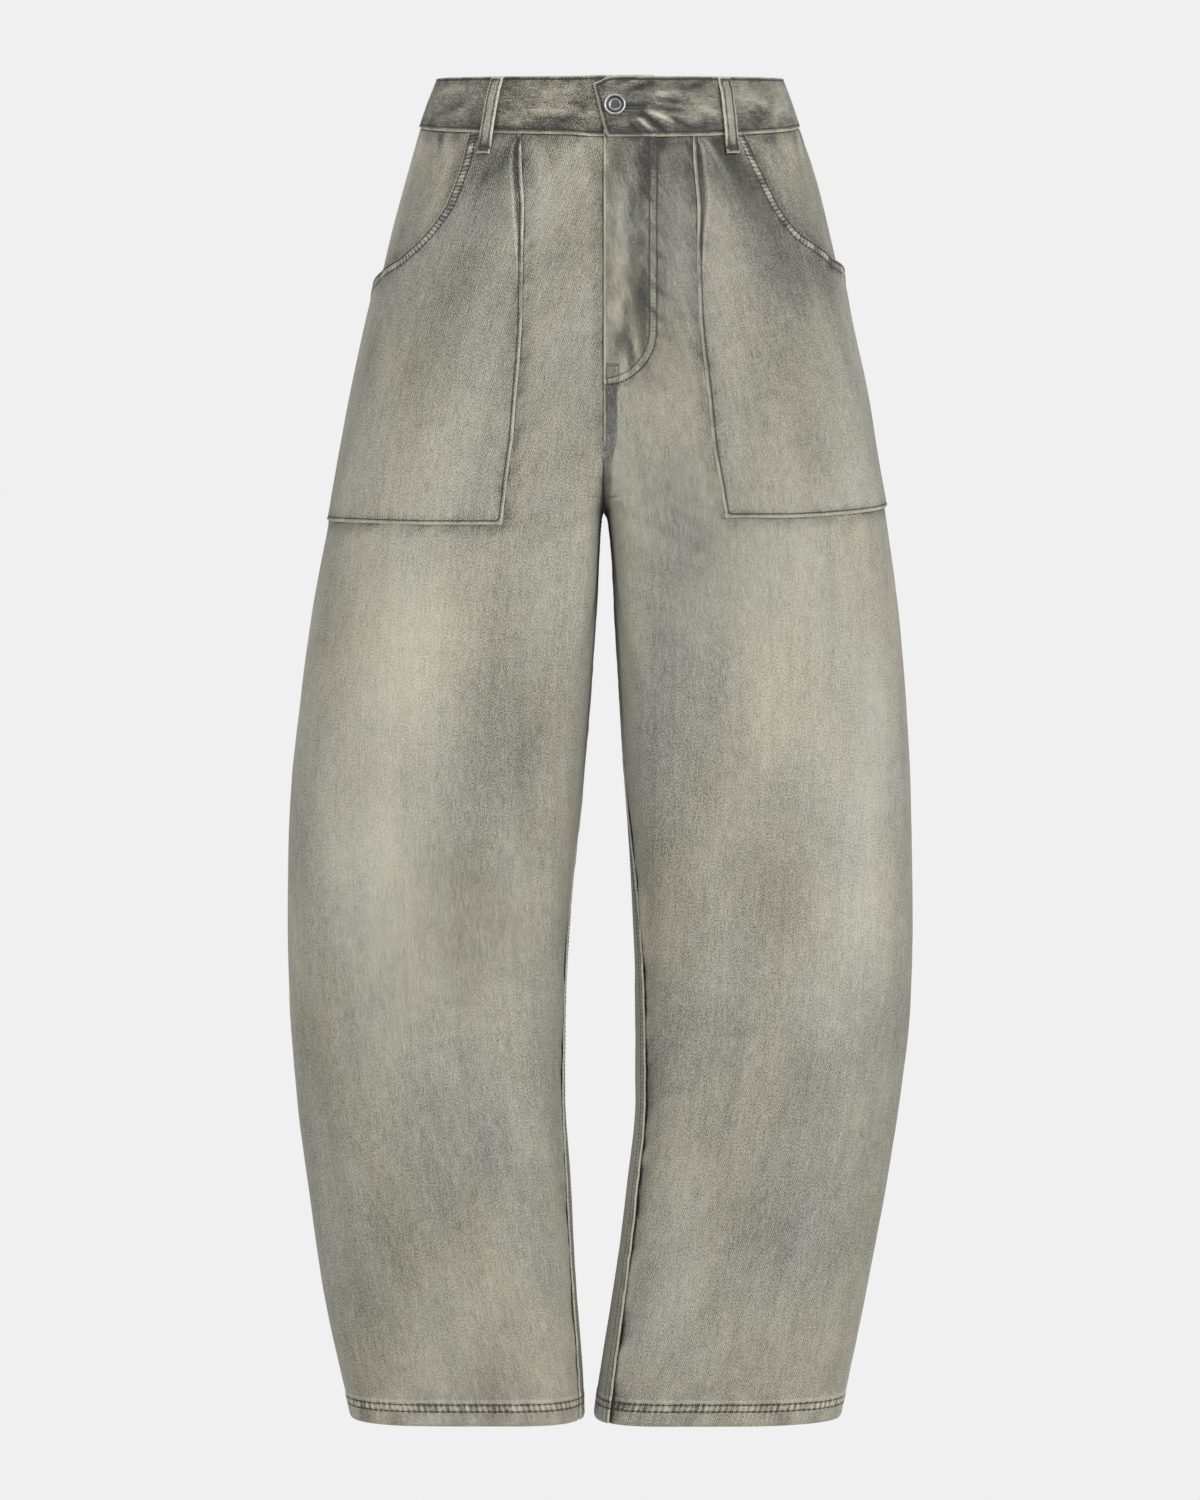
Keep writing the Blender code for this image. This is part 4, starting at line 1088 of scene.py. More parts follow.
def giveWall(piece, thickness, thin=None):
    # thin gives each point's share of the thickness, for a wall that isn't even
    solid = piece.modifiers.new("wall", "SOLIDIFY")
    solid.thickness = thickness * mm
    solid.offset = -1.0
    solid.use_quality_normals = True
    solid.material_offset = 1
    solid.material_offset_rim = 0
    if thin is not None:
        group = piece.vertex_groups.new(name="wall")
        flat = np.ravel(thin)
        for level in np.unique(np.round(flat, 2)):
            chosen = np.nonzero(np.round(flat, 2) == level)[0].tolist()
            group.add(chosen, float(level), "REPLACE")
        solid.vertex_group = "wall"
    bpy.context.view_layer.objects.active = piece
    bpy.ops.object.modifier_apply(modifier="wall")
    piece.vertex_groups.clear()
    for polygon in piece.data.polygons:
        polygon.use_smooth = True
    piece.data.set_sharp_from_angle(angle=math.radians(62))


def finishPiece(piece, nodes):
    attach(piece, "root")
    if nodes:
        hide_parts(*nodes)


# Leg and hip panels
frontLook = {"tone": 0.50, "hem": True, "under": 0.14, "seam": True}
flyLook = {
    "pair": (0.0, 5.6),
    "pairWear": False,
    "pitch": 3.2,
    "cells": 0.2,
    "edge": {"row": noRow, "ridge": 2.0, "light": 0.42},
}
backLook = {"tone": 0.48, "hem": True, "under": 0.14, "edge": {"row": 2.4, "ridge": 1.8, "light": 0.36}}
panelLooks = {
    "rightFront": frontLook,
    "leftFront": {**frontLook, **flyLook},
    "rightBack": backLook,
    "leftBack": backLook,
}


def panelRows():
    s = panelSizes
    top = formSizes["bandHeight"] - s["tucked"]
    hemTop = formSizes["hemDrop"] - 30
    upper = np.arange(top, top + 16, s["fineStep"])
    above = np.arange(top + 16, crotch - 36, s["rowStep"])
    nearCrotch = np.arange(crotch - 36, crotch + 12, s["fineStep"] * 1.2)
    middle = np.linspace(crotch + 12, hemTop, int((hemTop - crotch - 12) / s["rowStep"]))
    lower = np.linspace(hemTop, formSizes["hemDrop"], 22)[1:]
    return np.concatenate([upper, above, nearCrotch, middle, lower])


def makePanel(side, half):
    name = side + half
    drops = panelRows()
    whole, wide = lengthsAt(side, drops)
    forward = curveThrough(inseamNames, inseamRows, side + "Forward", drops)
    outseam = wide + formSizes["outseamBack"]
    fine = np.array([0.0, 0.7, 1.5, 2.6, 4.0])
    turn = levelValue(side, drops, half.lower() + "Turn")
    if half == "Front":
        start, end = forward - 3.0 * easeIn(drops, crotch, crotch + 30), outseam
        first, second = panelSizes["columns"]
    else:
        start, end = outseam, whole + forward
        second, first = panelSizes["columns"]
    low, middle, high = start[:, None] + 4.0, turn[:, None], end[:, None] - 4.0
    along = np.concatenate([
        start[:, None] + fine[None, :],
        low + np.linspace(0, 1, first)[None, 1:] * (middle - low),
        middle + np.linspace(0, 1, second)[None, 1:-1] * (high - middle),
        end[:, None] - fine[None, ::-1],
    ], axis=1)
    drop = np.repeat(drops[:, None], along.shape[1], axis=1)
    relief = panelRelief(side, half, drop, along)
    tucked = 0.9 * (1 - easeIn(drop - bandBottom(side, drop, along), -1.2, 1.0))
    height = relief["height"] - tucked
    points = lay(side, drop, along, height)
    up = formSizes["hemDrop"] - drop
    warm = 0.28 * (1 - easeIn(drop, 40, 110)) + 0.34 * easeIn(drop, 860, 1000)
    fadeAndShade = washAndShadeFades(side, drop, relief["place"])
    if name == "leftFront":
        fadeAndShade += patchSum(flyFades, along, drop)
        fadeAndShade += 0.55 * softNoise(along / 4, drop / 14, 61) * (along < flyWidth(drop)) * (drop < 243)
        # the dark strip below the fly, narrowing to the crotch
        out = points[..., 0] - formSizes["seamX"]
        width = 9.6 - 4.6 * easeIn(drop, 262, crotch)
        strip = easeIn(out, -2.0, 0.8) * (1 - easeIn(out, width - 1.2, width + 1.2))
        fadeAndShade -= 1.7 * strip * easeIn(drop, 238, 246) * (drop < crotch + 14)
    # mottled grime under the band and along the hem
    top = np.exp(-((drop - formSizes["bandHeight"]) / 34))
    fadeAndShade += top * (0.8 * softNoise(along / 9, drop / 14, 62) - 0.3)
    fadeAndShade += 0.8 * softNoise(along / 12, drop / 12, 63) * np.exp(-(up / 26) ** 2)
    # painted light beside the inseam, from the crotch to the knee, where the legs turn in towards each other
    fromInseam = np.maximum(np.minimum(along, lengthsAt(side, drop)[0] - along), 0)
    paintedInnerLight = easeIn(drop, crotch + 6, crotch + 22) * (1 - easeIn(drop, 430, 560))
    fadeAndShade += 1.5 * np.exp(-(fromInseam / 12) ** 2) * paintedInnerLight
    values = {
        "edge": relief["edge"],
        "rows": relief["rows"],
        "under": relief["under"],
        "seam": relief["seam"],
        "outseam": relief["outseam"],
        "hem": up,
        "wearAndShade": relief["wearAndShade"],
        "run": relief["run"],
        "place": relief["place"],
        "fadeAndShade": fadeAndShade,
        "warm": warm,
    }
    cloth = np.stack([relief["place"] if side == "right" else 900 - relief["place"], -drop], axis=-1)
    material = denimMaterial("denim" + name[0].upper() + name[1:], panelLooks[name])
    piece = clothPiece(name, points, cloth, values, clothNormal(side, drop, along), material)
    beside = np.minimum(relief["seam"], relief["edge"]) < 5.0
    thick = np.where((up < hemSizes["height"] - 1) & ~beside, 1.0, panelSizes["wall"] / hemSizes["wall"])
    giveWall(piece, hemSizes["wall"], thick)
    finishPiece(piece, [side + "_" + half.lower()])
    return piece


panels = {side + half: makePanel(side, half) for side in sides for half in ("Front", "Back")}
print("leg and hip panels made:", ", ".join(panels))


# Patch pockets
pocketLook = {
    "tone": 0.48,
    "edge": {"row": 2.8, "ridge": 2.0, "light": 0.40, "dark": 0.38},
    "pair": pocketSizes["mouthRows"],
    "pairEdge": True,
    "pitch": 3.0,
    "cells": 0.9,
    "under": 0.14,
}


def makePocket(side):
    p = pocketSizes
    corner, fall, bottom = p["corner"][side], p["fall"][side], p["bottom"][side]
    top = formSizes["bandHeight"] - 4.0
    rows = np.concatenate([
        np.arange(top, corner, 2.1),
        np.linspace(corner, corner + fall, 18)[:-1],
        np.linspace(corner + fall, bottom - 6, int((bottom - 6 - corner - fall) / 2.1))[:-1],
        bottom - np.array([6.0, 4.8, 3.7, 2.9, 2.1, 1.4, 0.7, 0.0]),
    ])
    inner = pocketCurve(side, "Inner", rows)
    outseam = -formSizes["outseamBack"] + 0.1
    mouth = pocketCurve(side, "Mouth", np.minimum(rows, corner))
    cornerPlace = float(pocketCurve(side, "Mouth", corner))
    falling = cornerPlace + (outseam - cornerPlace) * np.clip((rows - corner) / fall, 0, 1)
    outer = np.where(rows > corner, falling, mouth)
    fromInner = np.array([0.0, 0.6, 1.3, 2.0, 2.8, 3.6] + list(np.arange(4.6, 17, 1.05)))
    fromMouth = np.array([9.5, 8.2, 7.0, 5.8, 4.6, 3.4, 2.4, 1.5, 0.7, 0.0])
    even = np.linspace(0, 1, 84)[1:-1]
    room = np.maximum(inner - outer, 30.0)[:, None]
    share = np.minimum(1.0, room / 40.0)
    plain = inner[:, None] - outer[:, None] - fromInner[-1] - fromMouth[0] * share
    place = np.concatenate([
        inner[:, None] - fromInner[None, :],
        inner[:, None] - fromInner[-1] - even[None, :] * plain,
        outer[:, None] + fromMouth[None, :] * share,
    ], axis=1)
    row = np.repeat(rows[:, None], place.shape[1], axis=1)
    drop = bottomDrop(side, row, place)
    relief = pocketRelief(side, drop, place)
    along = lengthsAt(side, drop)[1] - place
    points = lay(side, drop, along, relief["height"])
    # the pleat's fold is rubbed pale, with painted shadow on the strip beside it
    wearAndShade = relief["wearAndShade"] + 0.9 * bump((relief["fold"] - 0.6) / 1.4) * easeIn(200 - drop, 0, 60)
    wearAndShade = wearAndShade - 1.1 * bump((relief["fold"] + 2.2) / 2.4) * easeIn(230 - drop, 0, 90)
    values = {
        "edge": relief["edge"],
        "rows": relief["rows"],
        "under": relief["under"],
        "wearAndShade": wearAndShade,
        "run": relief["mouthRun"],
        "fadeAndShade": washAndShadeFades(side, drop, place),
        "warm": 0.2 * (1 - easeIn(drop, 40, 110)),
    }
    cloth = np.stack([place - 300 if side == "right" else 1500 - place, -drop - 2000], axis=-1)
    material = denimMaterial("denim" + side[0].upper() + side[1:] + "Pocket", pocketLook)
    piece = clothPiece(side + "Pocket", points, cloth, values, clothNormal(side, drop, along), material)
    giveWall(piece, p["wall"])
    finishPiece(piece, [side + "_pocket"])


for side in sides:
    makePocket(side)
print("patch pockets made")


# Waistband: a strip from the tab's end round the left side and the back to the underlap
bandSizes = {
    "wall": 2.6,
    "raised": 1.5,
    "bottom": 38.3,
    "tabTop": -8.0,
    "tabBottom": 2.3,
    "tabCorner": 4.6,
    "cornerRun": 14.0,
    "tabStep": 0.4,
    "solidWall": 3.0,
    "underlap": 38.0,
    "underlapTop": -1.4,
    "duckFrom": 22.0,
    "duckTo": 9.0,
    "step": 1.6,
    "countedBack": 200,
    "holeLevel": 18.6,
}
bandCreases = [
    (16, 25, 30, 24, 2.6, -0.9),
    (21, 24, 34, 36, 2.4, 1.5),
    (17, 28, 24, 37, 2.2, -1.3),
    (26, 23, 40, 33, 2.4, -1.6),
    (30, 22, 46, 28, 2.6, 1.5),
    (33, 28, 42, 37, 2.2, -1.2),
    (36, 20, 56, 22, 2.8, -1.0),
    (44, 25, 60, 33, 2.8, -0.9),
    (16, 10, 34, 5, 2.6, -1.0),
    (12, 7, 28, 2, 2.2, 0.7),
    (30, 12, 54, 11, 3.0, 0.7),
    (38, 15, 60, 17, 2.8, -0.8),
    (56, 9, 76, 5, 3.0, -0.6),
    (62, 20, 86, 24, 3.2, 0.6),
    (-62, 21, -14, 25, 2.4, 0.5),
    (-58, 26, -16, 30, 2.2, -0.5),
    (-50, 12, -22, 9, 2.6, 0.35),
    (-36, 33, -18, 24, 2.0, -0.5),
    (-30, 17, -12, 19, 2.0, -0.5),
    (-72, 33, -50, 30, 3.0, 0.6),
    (104, 12, 140, 24, 7.0, 0.5),
    (112, 30, 132, 20, 4.0, -0.5),
    (-128, 26, -96, 14, 7.0, -0.5),
    (-140, 12, -110, 8, 5.0, 0.5),
]
bandFades = [
    (42, 7, 26, 6, -1.0),
    (26, 30, 26, 7, -1.1),
    (14, 30, 8, 6, 0.9),
    (42, 24, 12, 4, 0.9),
    (58, 14, 26, 4, 0.5),
    (20, 8, 10, 5, -0.6),
    (24, 19, 12, 3, -1.0),
    (70, 32, 12, 6, -1.1),
    (-30, 24, 24, 3, 0.6),
    (-24, 32, 14, 5, -0.7),
    (-58, 9, 14, 9, -0.5),
    (-20, 10, 12, 6, 0.4),
    (78, 10, 10, 18, -0.9),
    (98, 30, 14, 10, -0.8),
    (-88, 30, 14, 9, -0.8),
    (-100, 12, 16, 6, 0.5),
    (122, 10, 30, 6, 0.5),
    (122, 28, 34, 7, -0.7),
]


def halfLength(side, drop):
    return lengthsAt(side, drop)[0]


def aroundPoint(drop, ring, height):
    # ring is counted in half girths from the centre front, through the left side
    ring = ring % 2
    left = ring < 1
    points = np.empty(np.shape(drop) + (3,))
    normals = np.empty(np.shape(drop) + (3,))
    for side, chosen in (("left", left), ("right", ~left)):
        if not np.any(chosen):
            continue
        share = ring[chosen] if side == "left" else 2 - ring[chosen]
        along = share * halfLength(side, drop[chosen])
        points[chosen] = lay(side, drop[chosen], along, height[chosen])
        normals[chosen] = clothNormal(side, drop[chosen], along)
    return points, normals


def bandEdge(placeRun, half, other):
    # the lower edge's drop, at a run from the centre front round the left side and the back
    left = curveThrough(bandLineNames, bandLineRows, "left", np.clip(placeRun / half, 0, 1))
    right = curveThrough(bandLineNames, bandLineRows, "right", np.clip((half + other - placeRun) / other, 0, 1))
    return np.where(placeRun < half, left, right)


def bandRelief(run, level, tab):
    # run is in millimetres from the centre front, near the overlap counted back from it, and
    # level down from the band's own top edge
    b = bandSizes
    top, bottom = level, b["bottom"] - level
    edge = np.minimum(np.minimum(top, bottom), tab)
    height = foldedEdge(edge, ridge=0.3, groove=0.4, row=2.5)
    fine = np.zeros(np.shape(run))
    fine += puckers(np.minimum(top, bottom), run, 7.0, 7.0, 0.38, 201)
    fine += puckers(np.abs(level - 19), run + 0.7 * level, 23.0, 16.0, 0.35, 207)
    fine += creaseSum(bandCreases, run, level, 0.4)
    hole = np.abs(level - b["holeLevel"])
    slit = bump(hole / 1.2) * easeIn(run, 13.0, 15.0) * (1 - easeIn(run, 27.5, 29.5)) * (tab > 3)
    height -= 1.2 * slit
    # the second value colours the cloth, and darkens the slit as painted shade in the cut
    return height + fine * easeIn(edge, 0.5, 3.0), fine - 1.6 * slit, edge


halfGirths = [float(halfLength(side, np.array([0.0]))[0]) for side in ("left", "right")]
bandTotal = sum(halfGirths)


def tabSlant(level):
    # where the tab's slanted end lies, from the centre front
    return bandSizes["tabTop"] + (bandSizes["tabBottom"] - bandSizes["tabTop"]) * level / bandSizes["bottom"]


def bandPlace(placeRun, level, fromEnd):
    # a spot of the strip: its drop, its place round the waist, its run as the tables count it,
    # and how far it has ducked under the tab
    b = bandSizes
    half, other = halfGirths
    past = placeRun - bandTotal
    ring = np.where(placeRun > half, 1 + (placeRun - half) / other, placeRun / half)
    ring = np.where(past > 0, 2 + past / half, ring)
    duck = easeIn(past, -b["duckFrom"], -b["duckTo"])
    topDrop = b["tabCorner"] * (1 - easeIn(fromEnd, 0, b["cornerRun"])) + b["underlapTop"] * duck
    drop = topDrop + (bandEdge(placeRun, half, other) - topDrop) * level / b["bottom"]
    return drop, ring, np.where(past > -b["countedBack"], past, placeRun), duck


def makeBand():
    b = bandSizes
    fine = np.array([0.0, 0.6, 1.2, 1.9, 2.6, 3.4, 4.4])
    levels = np.concatenate([fine, np.linspace(4.4, b["bottom"] - 4.4, 19)[1:-1], b["bottom"] - fine[::-1]])
    # the strip's own length, from the tab's end to the underlap's end
    runs = np.concatenate([fine, np.arange(6.0, bandTotal + b["underlap"] + 8.0, b["step"])])
    run = np.repeat(runs[None, :], len(levels), axis=0)
    level = np.repeat(levels[:, None], len(runs), axis=1)
    # the slant of the tab's end fades out within 60 mm
    placeRun = tabSlant(level) * (1 - easeIn(run, 0, 60)) + b["tabTop"] * easeIn(run, 0, 60) + run
    drop, ring, counted, duck = bandPlace(placeRun, level, run)
    relief, wearAndShade, edge = bandRelief(counted, level, run)
    endEdge = runs[-1] - run
    relief = np.where(duck > 0.5, relief * 0.3, relief)
    height = b["raised"] + relief - duck * (b["solidWall"] + b["tabStep"])
    points, normals = aroundPoint(drop, ring, height)
    fadeAndShade = patchSum(bandFades, counted, level)
    fadeAndShade = 0.55 * fadeAndShade + 0.15 * softNoise(run / 13, level / 4, 33) + 0.6 * softNoise(run / 3.4, level / 1.7, 36)
    # grime along the lower seam, rubbed pale here and there
    fadeAndShade += (0.6 * softNoise(run / 9, level / 20, 34) - 0.5) * easeIn(level, b["bottom"] - 12, b["bottom"] - 5)
    fadeAndShade *= easeIn(edge, 1.3, 2.4)
    values = {
        "edge": np.minimum(edge, endEdge),
        "wearAndShade": wearAndShade,
        "fadeAndShade": fadeAndShade,
        "warm": 0.30 + 0.15 * softNoise(run / 60, level / 60, 35),
    }
    # the band is cut along the warp, so its twill lies across
    cloth = np.stack([4000 - level, run], axis=-1)
    look = {"tone": 0.30, "edge": {"row": 2.5, "ridge": 1.6, "dark": 0.34, "light": 0.55}, "wearAndShade": 0.40, "clouds": 0.8}
    piece = clothPiece("waistband", points, cloth, values, normals, denimMaterial("denimBand", look))
    giveWall(piece, b["wall"])
    finishPiece(piece, ["waistband"])


makeBand()
print("waistband made")


# Belt loops
loopSizes = {"width": 10.5, "wall": 2.0, "rowStep": 1.3, "top": 1.6, "bottom": 54.5}
loopRows = [
    ("left", 0.240, 0.2235, True),
    ("right", 0.2205, 0.2165, True),
    ("left", 0.66, 0.66, False),
    ("right", 0.66, 0.66, False),
    ("left", 1.0, 1.0, False),
]
loopPathNames = ("drop", "height")
loopPath = [(1.6, 3.9), (5.5, 3.9), (10.5, 5.2), (20.0, 5.8), (32.0, 5.6), (43.0, 5.1), (48.5, 4.5), (54.5, 4.5)]


def loopRing(loop, drop, across):
    side, top, bottom = loop[:3]
    share = top + (bottom - top) * (drop - loopSizes["top"]) / (loopSizes["bottom"] - loopSizes["top"])
    half = halfLength(side, drop)
    ring = share if side == "left" else 2 - share
    return ring + across * loopSizes["width"] / half


def loopLift(loop, drop, across):
    # the outer face's height over the body, and the distances to the nearest side and end
    top, bottom = loopSizes["top"], loopSizes["bottom"]
    height = curveThrough(loopPathNames, loopPath, "height", drop) + 0.1
    if not loop[3]:
        height = height - 1.5 * easeIn(drop, 36, 44)
    fromSide = loopSizes["width"] * (0.5 - np.abs(across))
    fromEnd = np.minimum(drop - top, bottom - drop)
    relief = foldedEdge(fromSide, ridge=0.3, groove=0.35, row=2.3) + 0.35
    relief -= 0.8 * (1 - easeIn(fromEnd, 0, 1.0)) + 0.5 * bump((bottom - drop - 4.5) / 2.0)
    return height + relief, fromSide, fromEnd


def makeLoop(number, loop):
    fine = [0.0, 0.5, 1.1, 1.9, 2.8]
    top, bottom, width = loopSizes["top"], loopSizes["bottom"], loopSizes["width"]
    between = list(np.arange(top + 4.0, bottom - 3.6, loopSizes["rowStep"]))
    drops = np.array([top + f for f in fine] + between + [bottom - f for f in fine[::-1]])
    beside = [0, 0.5, 1.1, 1.8, 2.6, 3.6, 4.6]
    lines = np.array(beside + [width / 2] + [width - b for b in beside[::-1]])
    across = np.repeat((lines / width - 0.5)[None, :], len(drops), axis=0)
    drop = np.repeat(drops[:, None], len(lines), axis=1)
    lifted, fromSide, fromEnd = loopLift(loop, drop, across)
    fine = puckers(fromSide, drop, 5.0, 4.0, 0.3, 300 + number) + 0.15 * softNoise(drop / 4, across * 4, 310 + number)
    points, normals = aroundPoint(drop, loopRing(loop, drop, across), lifted + fine)
    grime = 1.6 * bump((drop - 51) / 9)
    values = {
        "edge": np.minimum(fromSide, fromEnd + 0.3),
        "wearAndShade": fine - 1.1 * bump((bottom - drop - 4.5) / 2.4) + 0.4 * bump((bottom - drop - 1.2) / 1.5),
        "fadeAndShade": 0.5 * bump((drop - 26) / 26) + 0.3 * softNoise(drop / 9, across, 320 + number) - grime,
        "warm": np.full(drop.shape, 0.15),
    }
    cloth = np.stack([5000 + 40 * number + across * width, -drop], axis=-1)
    look = {"tone": 0.43, "edge": {"row": 2.3, "ridge": 1.6, "dark": 0.36, "light": 0.50}, "wearAndShade": 0.30}
    piece = clothPiece(f"beltLoop{number}", points, cloth, values, normals, denimMaterial(f"denimLoop{number}", look))
    giveWall(piece, loopSizes["wall"])
    finishPiece(piece, [f"belt_loop_{number}"])
    return piece


loops = [makeLoop(number, loop) for number, loop in enumerate(loopRows, start=1)]
print("belt loops made:", len(loops))


# Thread: one small stitch, copied along every row
threadSizes = {"pitch": 3.2, "length": 2.5, "radius": 0.36, "sunk": -0.04}


def stitchShape(length, radius):
    bpy.ops.object.select_all(action="DESELECT")
    bpy.ops.mesh.primitive_uv_sphere_add(segments=6, ring_count=4, radius=1.0)
    shape = bpy.context.object
    vertices = np.array([v.co[:] for v in shape.data.vertices])
    faces = [tuple(p.vertices) for p in shape.data.polygons]
    bpy.data.objects.remove(shape, do_unlink=True)
    reach = np.sign(vertices[:, 2]) * np.abs(vertices[:, 2]) ** 0.6
    return np.stack([vertices[:, 0] * radius, vertices[:, 1] * radius * 0.8, reach * length / 2], axis=1), faces


def threadMaterial(name, colour):
    material, tree, shader = startMaterial(name)
    position = tree.nodes.new("ShaderNodeTexCoord").outputs["Object"]
    twist = noiseValue(tree, position, (1400.0, 1400.0, 2200.0), 2.0)
    worn = noiseValue(tree, position, (60.0, 60.0, 60.0), 3.0)
    shade = calc(tree, "ADD", calc(tree, "MULTIPLY_ADD", twist, 0.9, 0.5), calc(tree, "MULTIPLY", worn, 1.1))
    dark, pale = (tuple(c * share for c in colour) + (1.0,) for share in (0.55, 1.6))
    tree.links.new(mixColours(tree, shade, dark, pale), shader.inputs["Base Color"])
    raiseSurface(tree, shader, twist, 1.0, 0.0002)
    shader.inputs["Roughness"].default_value = 0.75
    shader.inputs["Sheen Weight"].default_value = 0.1
    return material


thread = threadMaterial("threadCharcoal", (0.060, 0.063, 0.060))


def evenRun(points, normals, pitch):
    # centres, directions and normals at an even pitch along a line of points
    step = np.linalg.norm(np.diff(points, axis=0), axis=1)
    run = np.concatenate([[0], np.cumsum(step)])
    count = int(run[-1] // pitch)
    if count < 1:
        return np.empty((0, 3)), np.empty((0, 3)), np.empty((0, 3))
    at = (np.arange(count) + 0.5) * (run[-1] / count)
    pick = lambda where, values: np.stack([np.interp(where, run, values[:, k]) for k in range(3)], axis=1)
    centre = pick(at, points)
    ahead = pick(at + 0.8, points) - pick(at - 0.8, points)
    return centre, ahead, pick(at, normals)


def stitchRows(name, rows, material=thread, pitch=None, length=None, radius=None):
    pitch = pitch or threadSizes["pitch"]
    vertices, faces = stitchShape(length or threadSizes["length"], radius or threadSizes["radius"])
    allPoints, allFaces = [], []
    total = 0
    for points, normals in rows:
        centre, ahead, up = evenRun(points, normals, pitch)
        if len(centre) == 0:
            continue
        ahead /= np.linalg.norm(ahead, axis=1, keepdims=True)
        up -= ahead * np.sum(up * ahead, axis=1, keepdims=True)
        up /= np.linalg.norm(up, axis=1, keepdims=True)
        sideways = np.cross(ahead, up)
        placed = centre[:, None, :] + vertices[None, :, 0:1] * sideways[:, None, :]
        placed = placed + vertices[None, :, 1:2] * up[:, None, :] + vertices[None, :, 2:3] * ahead[:, None, :]
        placed = placed - threadSizes["sunk"] * up[:, None, :]
        for k in range(len(centre)):
            base = total + k * len(vertices)
            allFaces += [tuple(base + v for v in face) for face in faces]
        allPoints.append(placed.reshape(-1, 3))
        total += len(centre) * len(vertices)
    mesh = bpy.data.meshes.new(name)
    mesh.from_pydata((np.concatenate(allPoints) * mm).tolist(), [], allFaces)
    mesh.materials.append(material)
    for polygon in mesh.polygons:
        polygon.use_smooth = True
    piece = bpy.data.objects.new(name, mesh)
    bpy.context.scene.collection.objects.link(piece)
    finishPiece(piece, [])
    return piece


def panelRow(side, half, drop, along):
    relief = panelRelief(side, half, drop, along)
    return lay(side, drop, along, relief["height"]), clothNormal(side, drop, along)


def pocketRow(side, line):
    place, drop = line[:, 0], line[:, 1]
    along = lengthsAt(side, drop)[1] - place
    return lay(side, drop, along, pocketRelief(side, drop, place)["height"]), clothNormal(side, drop, along)


def insetLine(line, distance, inward):
    # a line at a distance from another, on the side that inward points to
    ahead = np.gradient(line, axis=0)
    ahead /= np.linalg.norm(ahead, axis=1, keepdims=True)
    return line + np.stack([-ahead[:, 1], ahead[:, 0]], axis=1) * distance * inward


def denser(line, step=1.5):
    run = np.concatenate([[0], np.cumsum(np.hypot(*np.diff(line, axis=0).T))])
    at = np.linspace(0, run[-1], max(2, int(run[-1] / step)))
    return np.stack([np.interp(at, run, line[:, 0]), np.interp(at, run, line[:, 1])], axis=1)


def sewPocket(side):
    p = pocketSizes
    rows = [pocketRow(side, denser(insetLine(mouthLines[side], row, -1.0))) for row in p["mouthRows"]]
    drops = np.linspace(formSizes["bandHeight"] + 1, p["bottom"][side] - p["edgeRow"], 200)
    down = np.stack([pocketCurve(side, "Inner", drops) - p["edgeRow"], drops], axis=1)
    places = np.linspace(down[-1, 0], -formSizes["outseamBack"] + 1, 150)
    across = np.stack([places, bottomDrop(side, p["bottom"][side], places) - p["edgeRow"]], axis=1)
    return stitchRows(side + "PocketThread", rows + [pocketRow(side, down), pocketRow(side, across)])


def sewHem(side):
    rows = []
    for up in hemSizes["rows"]:
        drop = np.full(400, formSizes["hemDrop"] - up)
        whole, wide = (values[0] for values in lengthsAt(side, drop))
        forward = float(curveThrough(inseamNames, inseamRows, side + "Forward", drop[0]))
        split = wide + formSizes["outseamBack"]
        rows.append(panelRow(side, "Front", drop, np.linspace(forward + 0.5, split - 0.5, 400)))
        rows.append(panelRow(side, "Back", drop, np.linspace(split + 0.5, whole + forward - 0.5, 400)))
    return stitchRows(side + "HemThread", rows, length=2.3)


def sewSeams(side):
    # two rows down the inseam, and on the left back two beside the centre back seam
    insets = (2.4, 8.0)
    drop = np.linspace(crotch + 8, formSizes["hemDrop"] - 2, 500)
    end = lengthsAt(side, drop)[0] + curveThrough(inseamNames, inseamRows, side + "Forward", drop)
    rows = [panelRow(side, "Back", drop, end - inset) for inset in insets]
    if side == "left":
        drop = np.linspace(formSizes["bandHeight"] + 1, crotch - 12, 260)
        rows += [panelRow(side, "Back", drop, lengthsAt(side, drop)[0] - inset) for inset in insets]
    return stitchRows(side + "SeamThread", rows)


def sewPanels():
    made = {}
    for side in sides:
        made[side + "PocketThread"] = sewPocket(side)
        made[side + "HemThread"] = sewHem(side)
        made[side + "SeamThread"] = sewSeams(side)
    rows = []
    for inset in (0.6, flySizes["rowGap"]):
        line = denser(flyLine(inset))
        line = line[line[:, 0] > 8.5]
        rows.append(panelRow("left", "Front", line[:, 1], line[:, 0]))
    drop = np.linspace(flySizes["end"] - 6, crotch - 6, 100)
    rows.append(panelRow("left", "Front", drop, np.full(100, 2.6)))
    rows.append(panelRow("left", "Front", drop, 9.2 - 4.0 * easeIn(drop, 285, 322)))
    made["flyThread"] = stitchRows("flyThread", rows)
    # the bar tack at the foot of the fly, and the ends of the crotch rows
    tacks = []
    for level in (226.0, 227.4, 241.6, 243.0):
        along = np.linspace(2.0, 11.0, 24)
        tacks.append(panelRow("left", "Front", np.full(24, level), along))
    for along in (2.2, 10.8):
        drop = np.linspace(226, 243, 30)
        tacks.append(panelRow("left", "Front", drop, np.full(30, along)))
    made["flyTack"] = stitchRows("flyTack", tacks, pitch=1.5, length=1.6, radius=0.40)
    return made


threads = sewPanels()


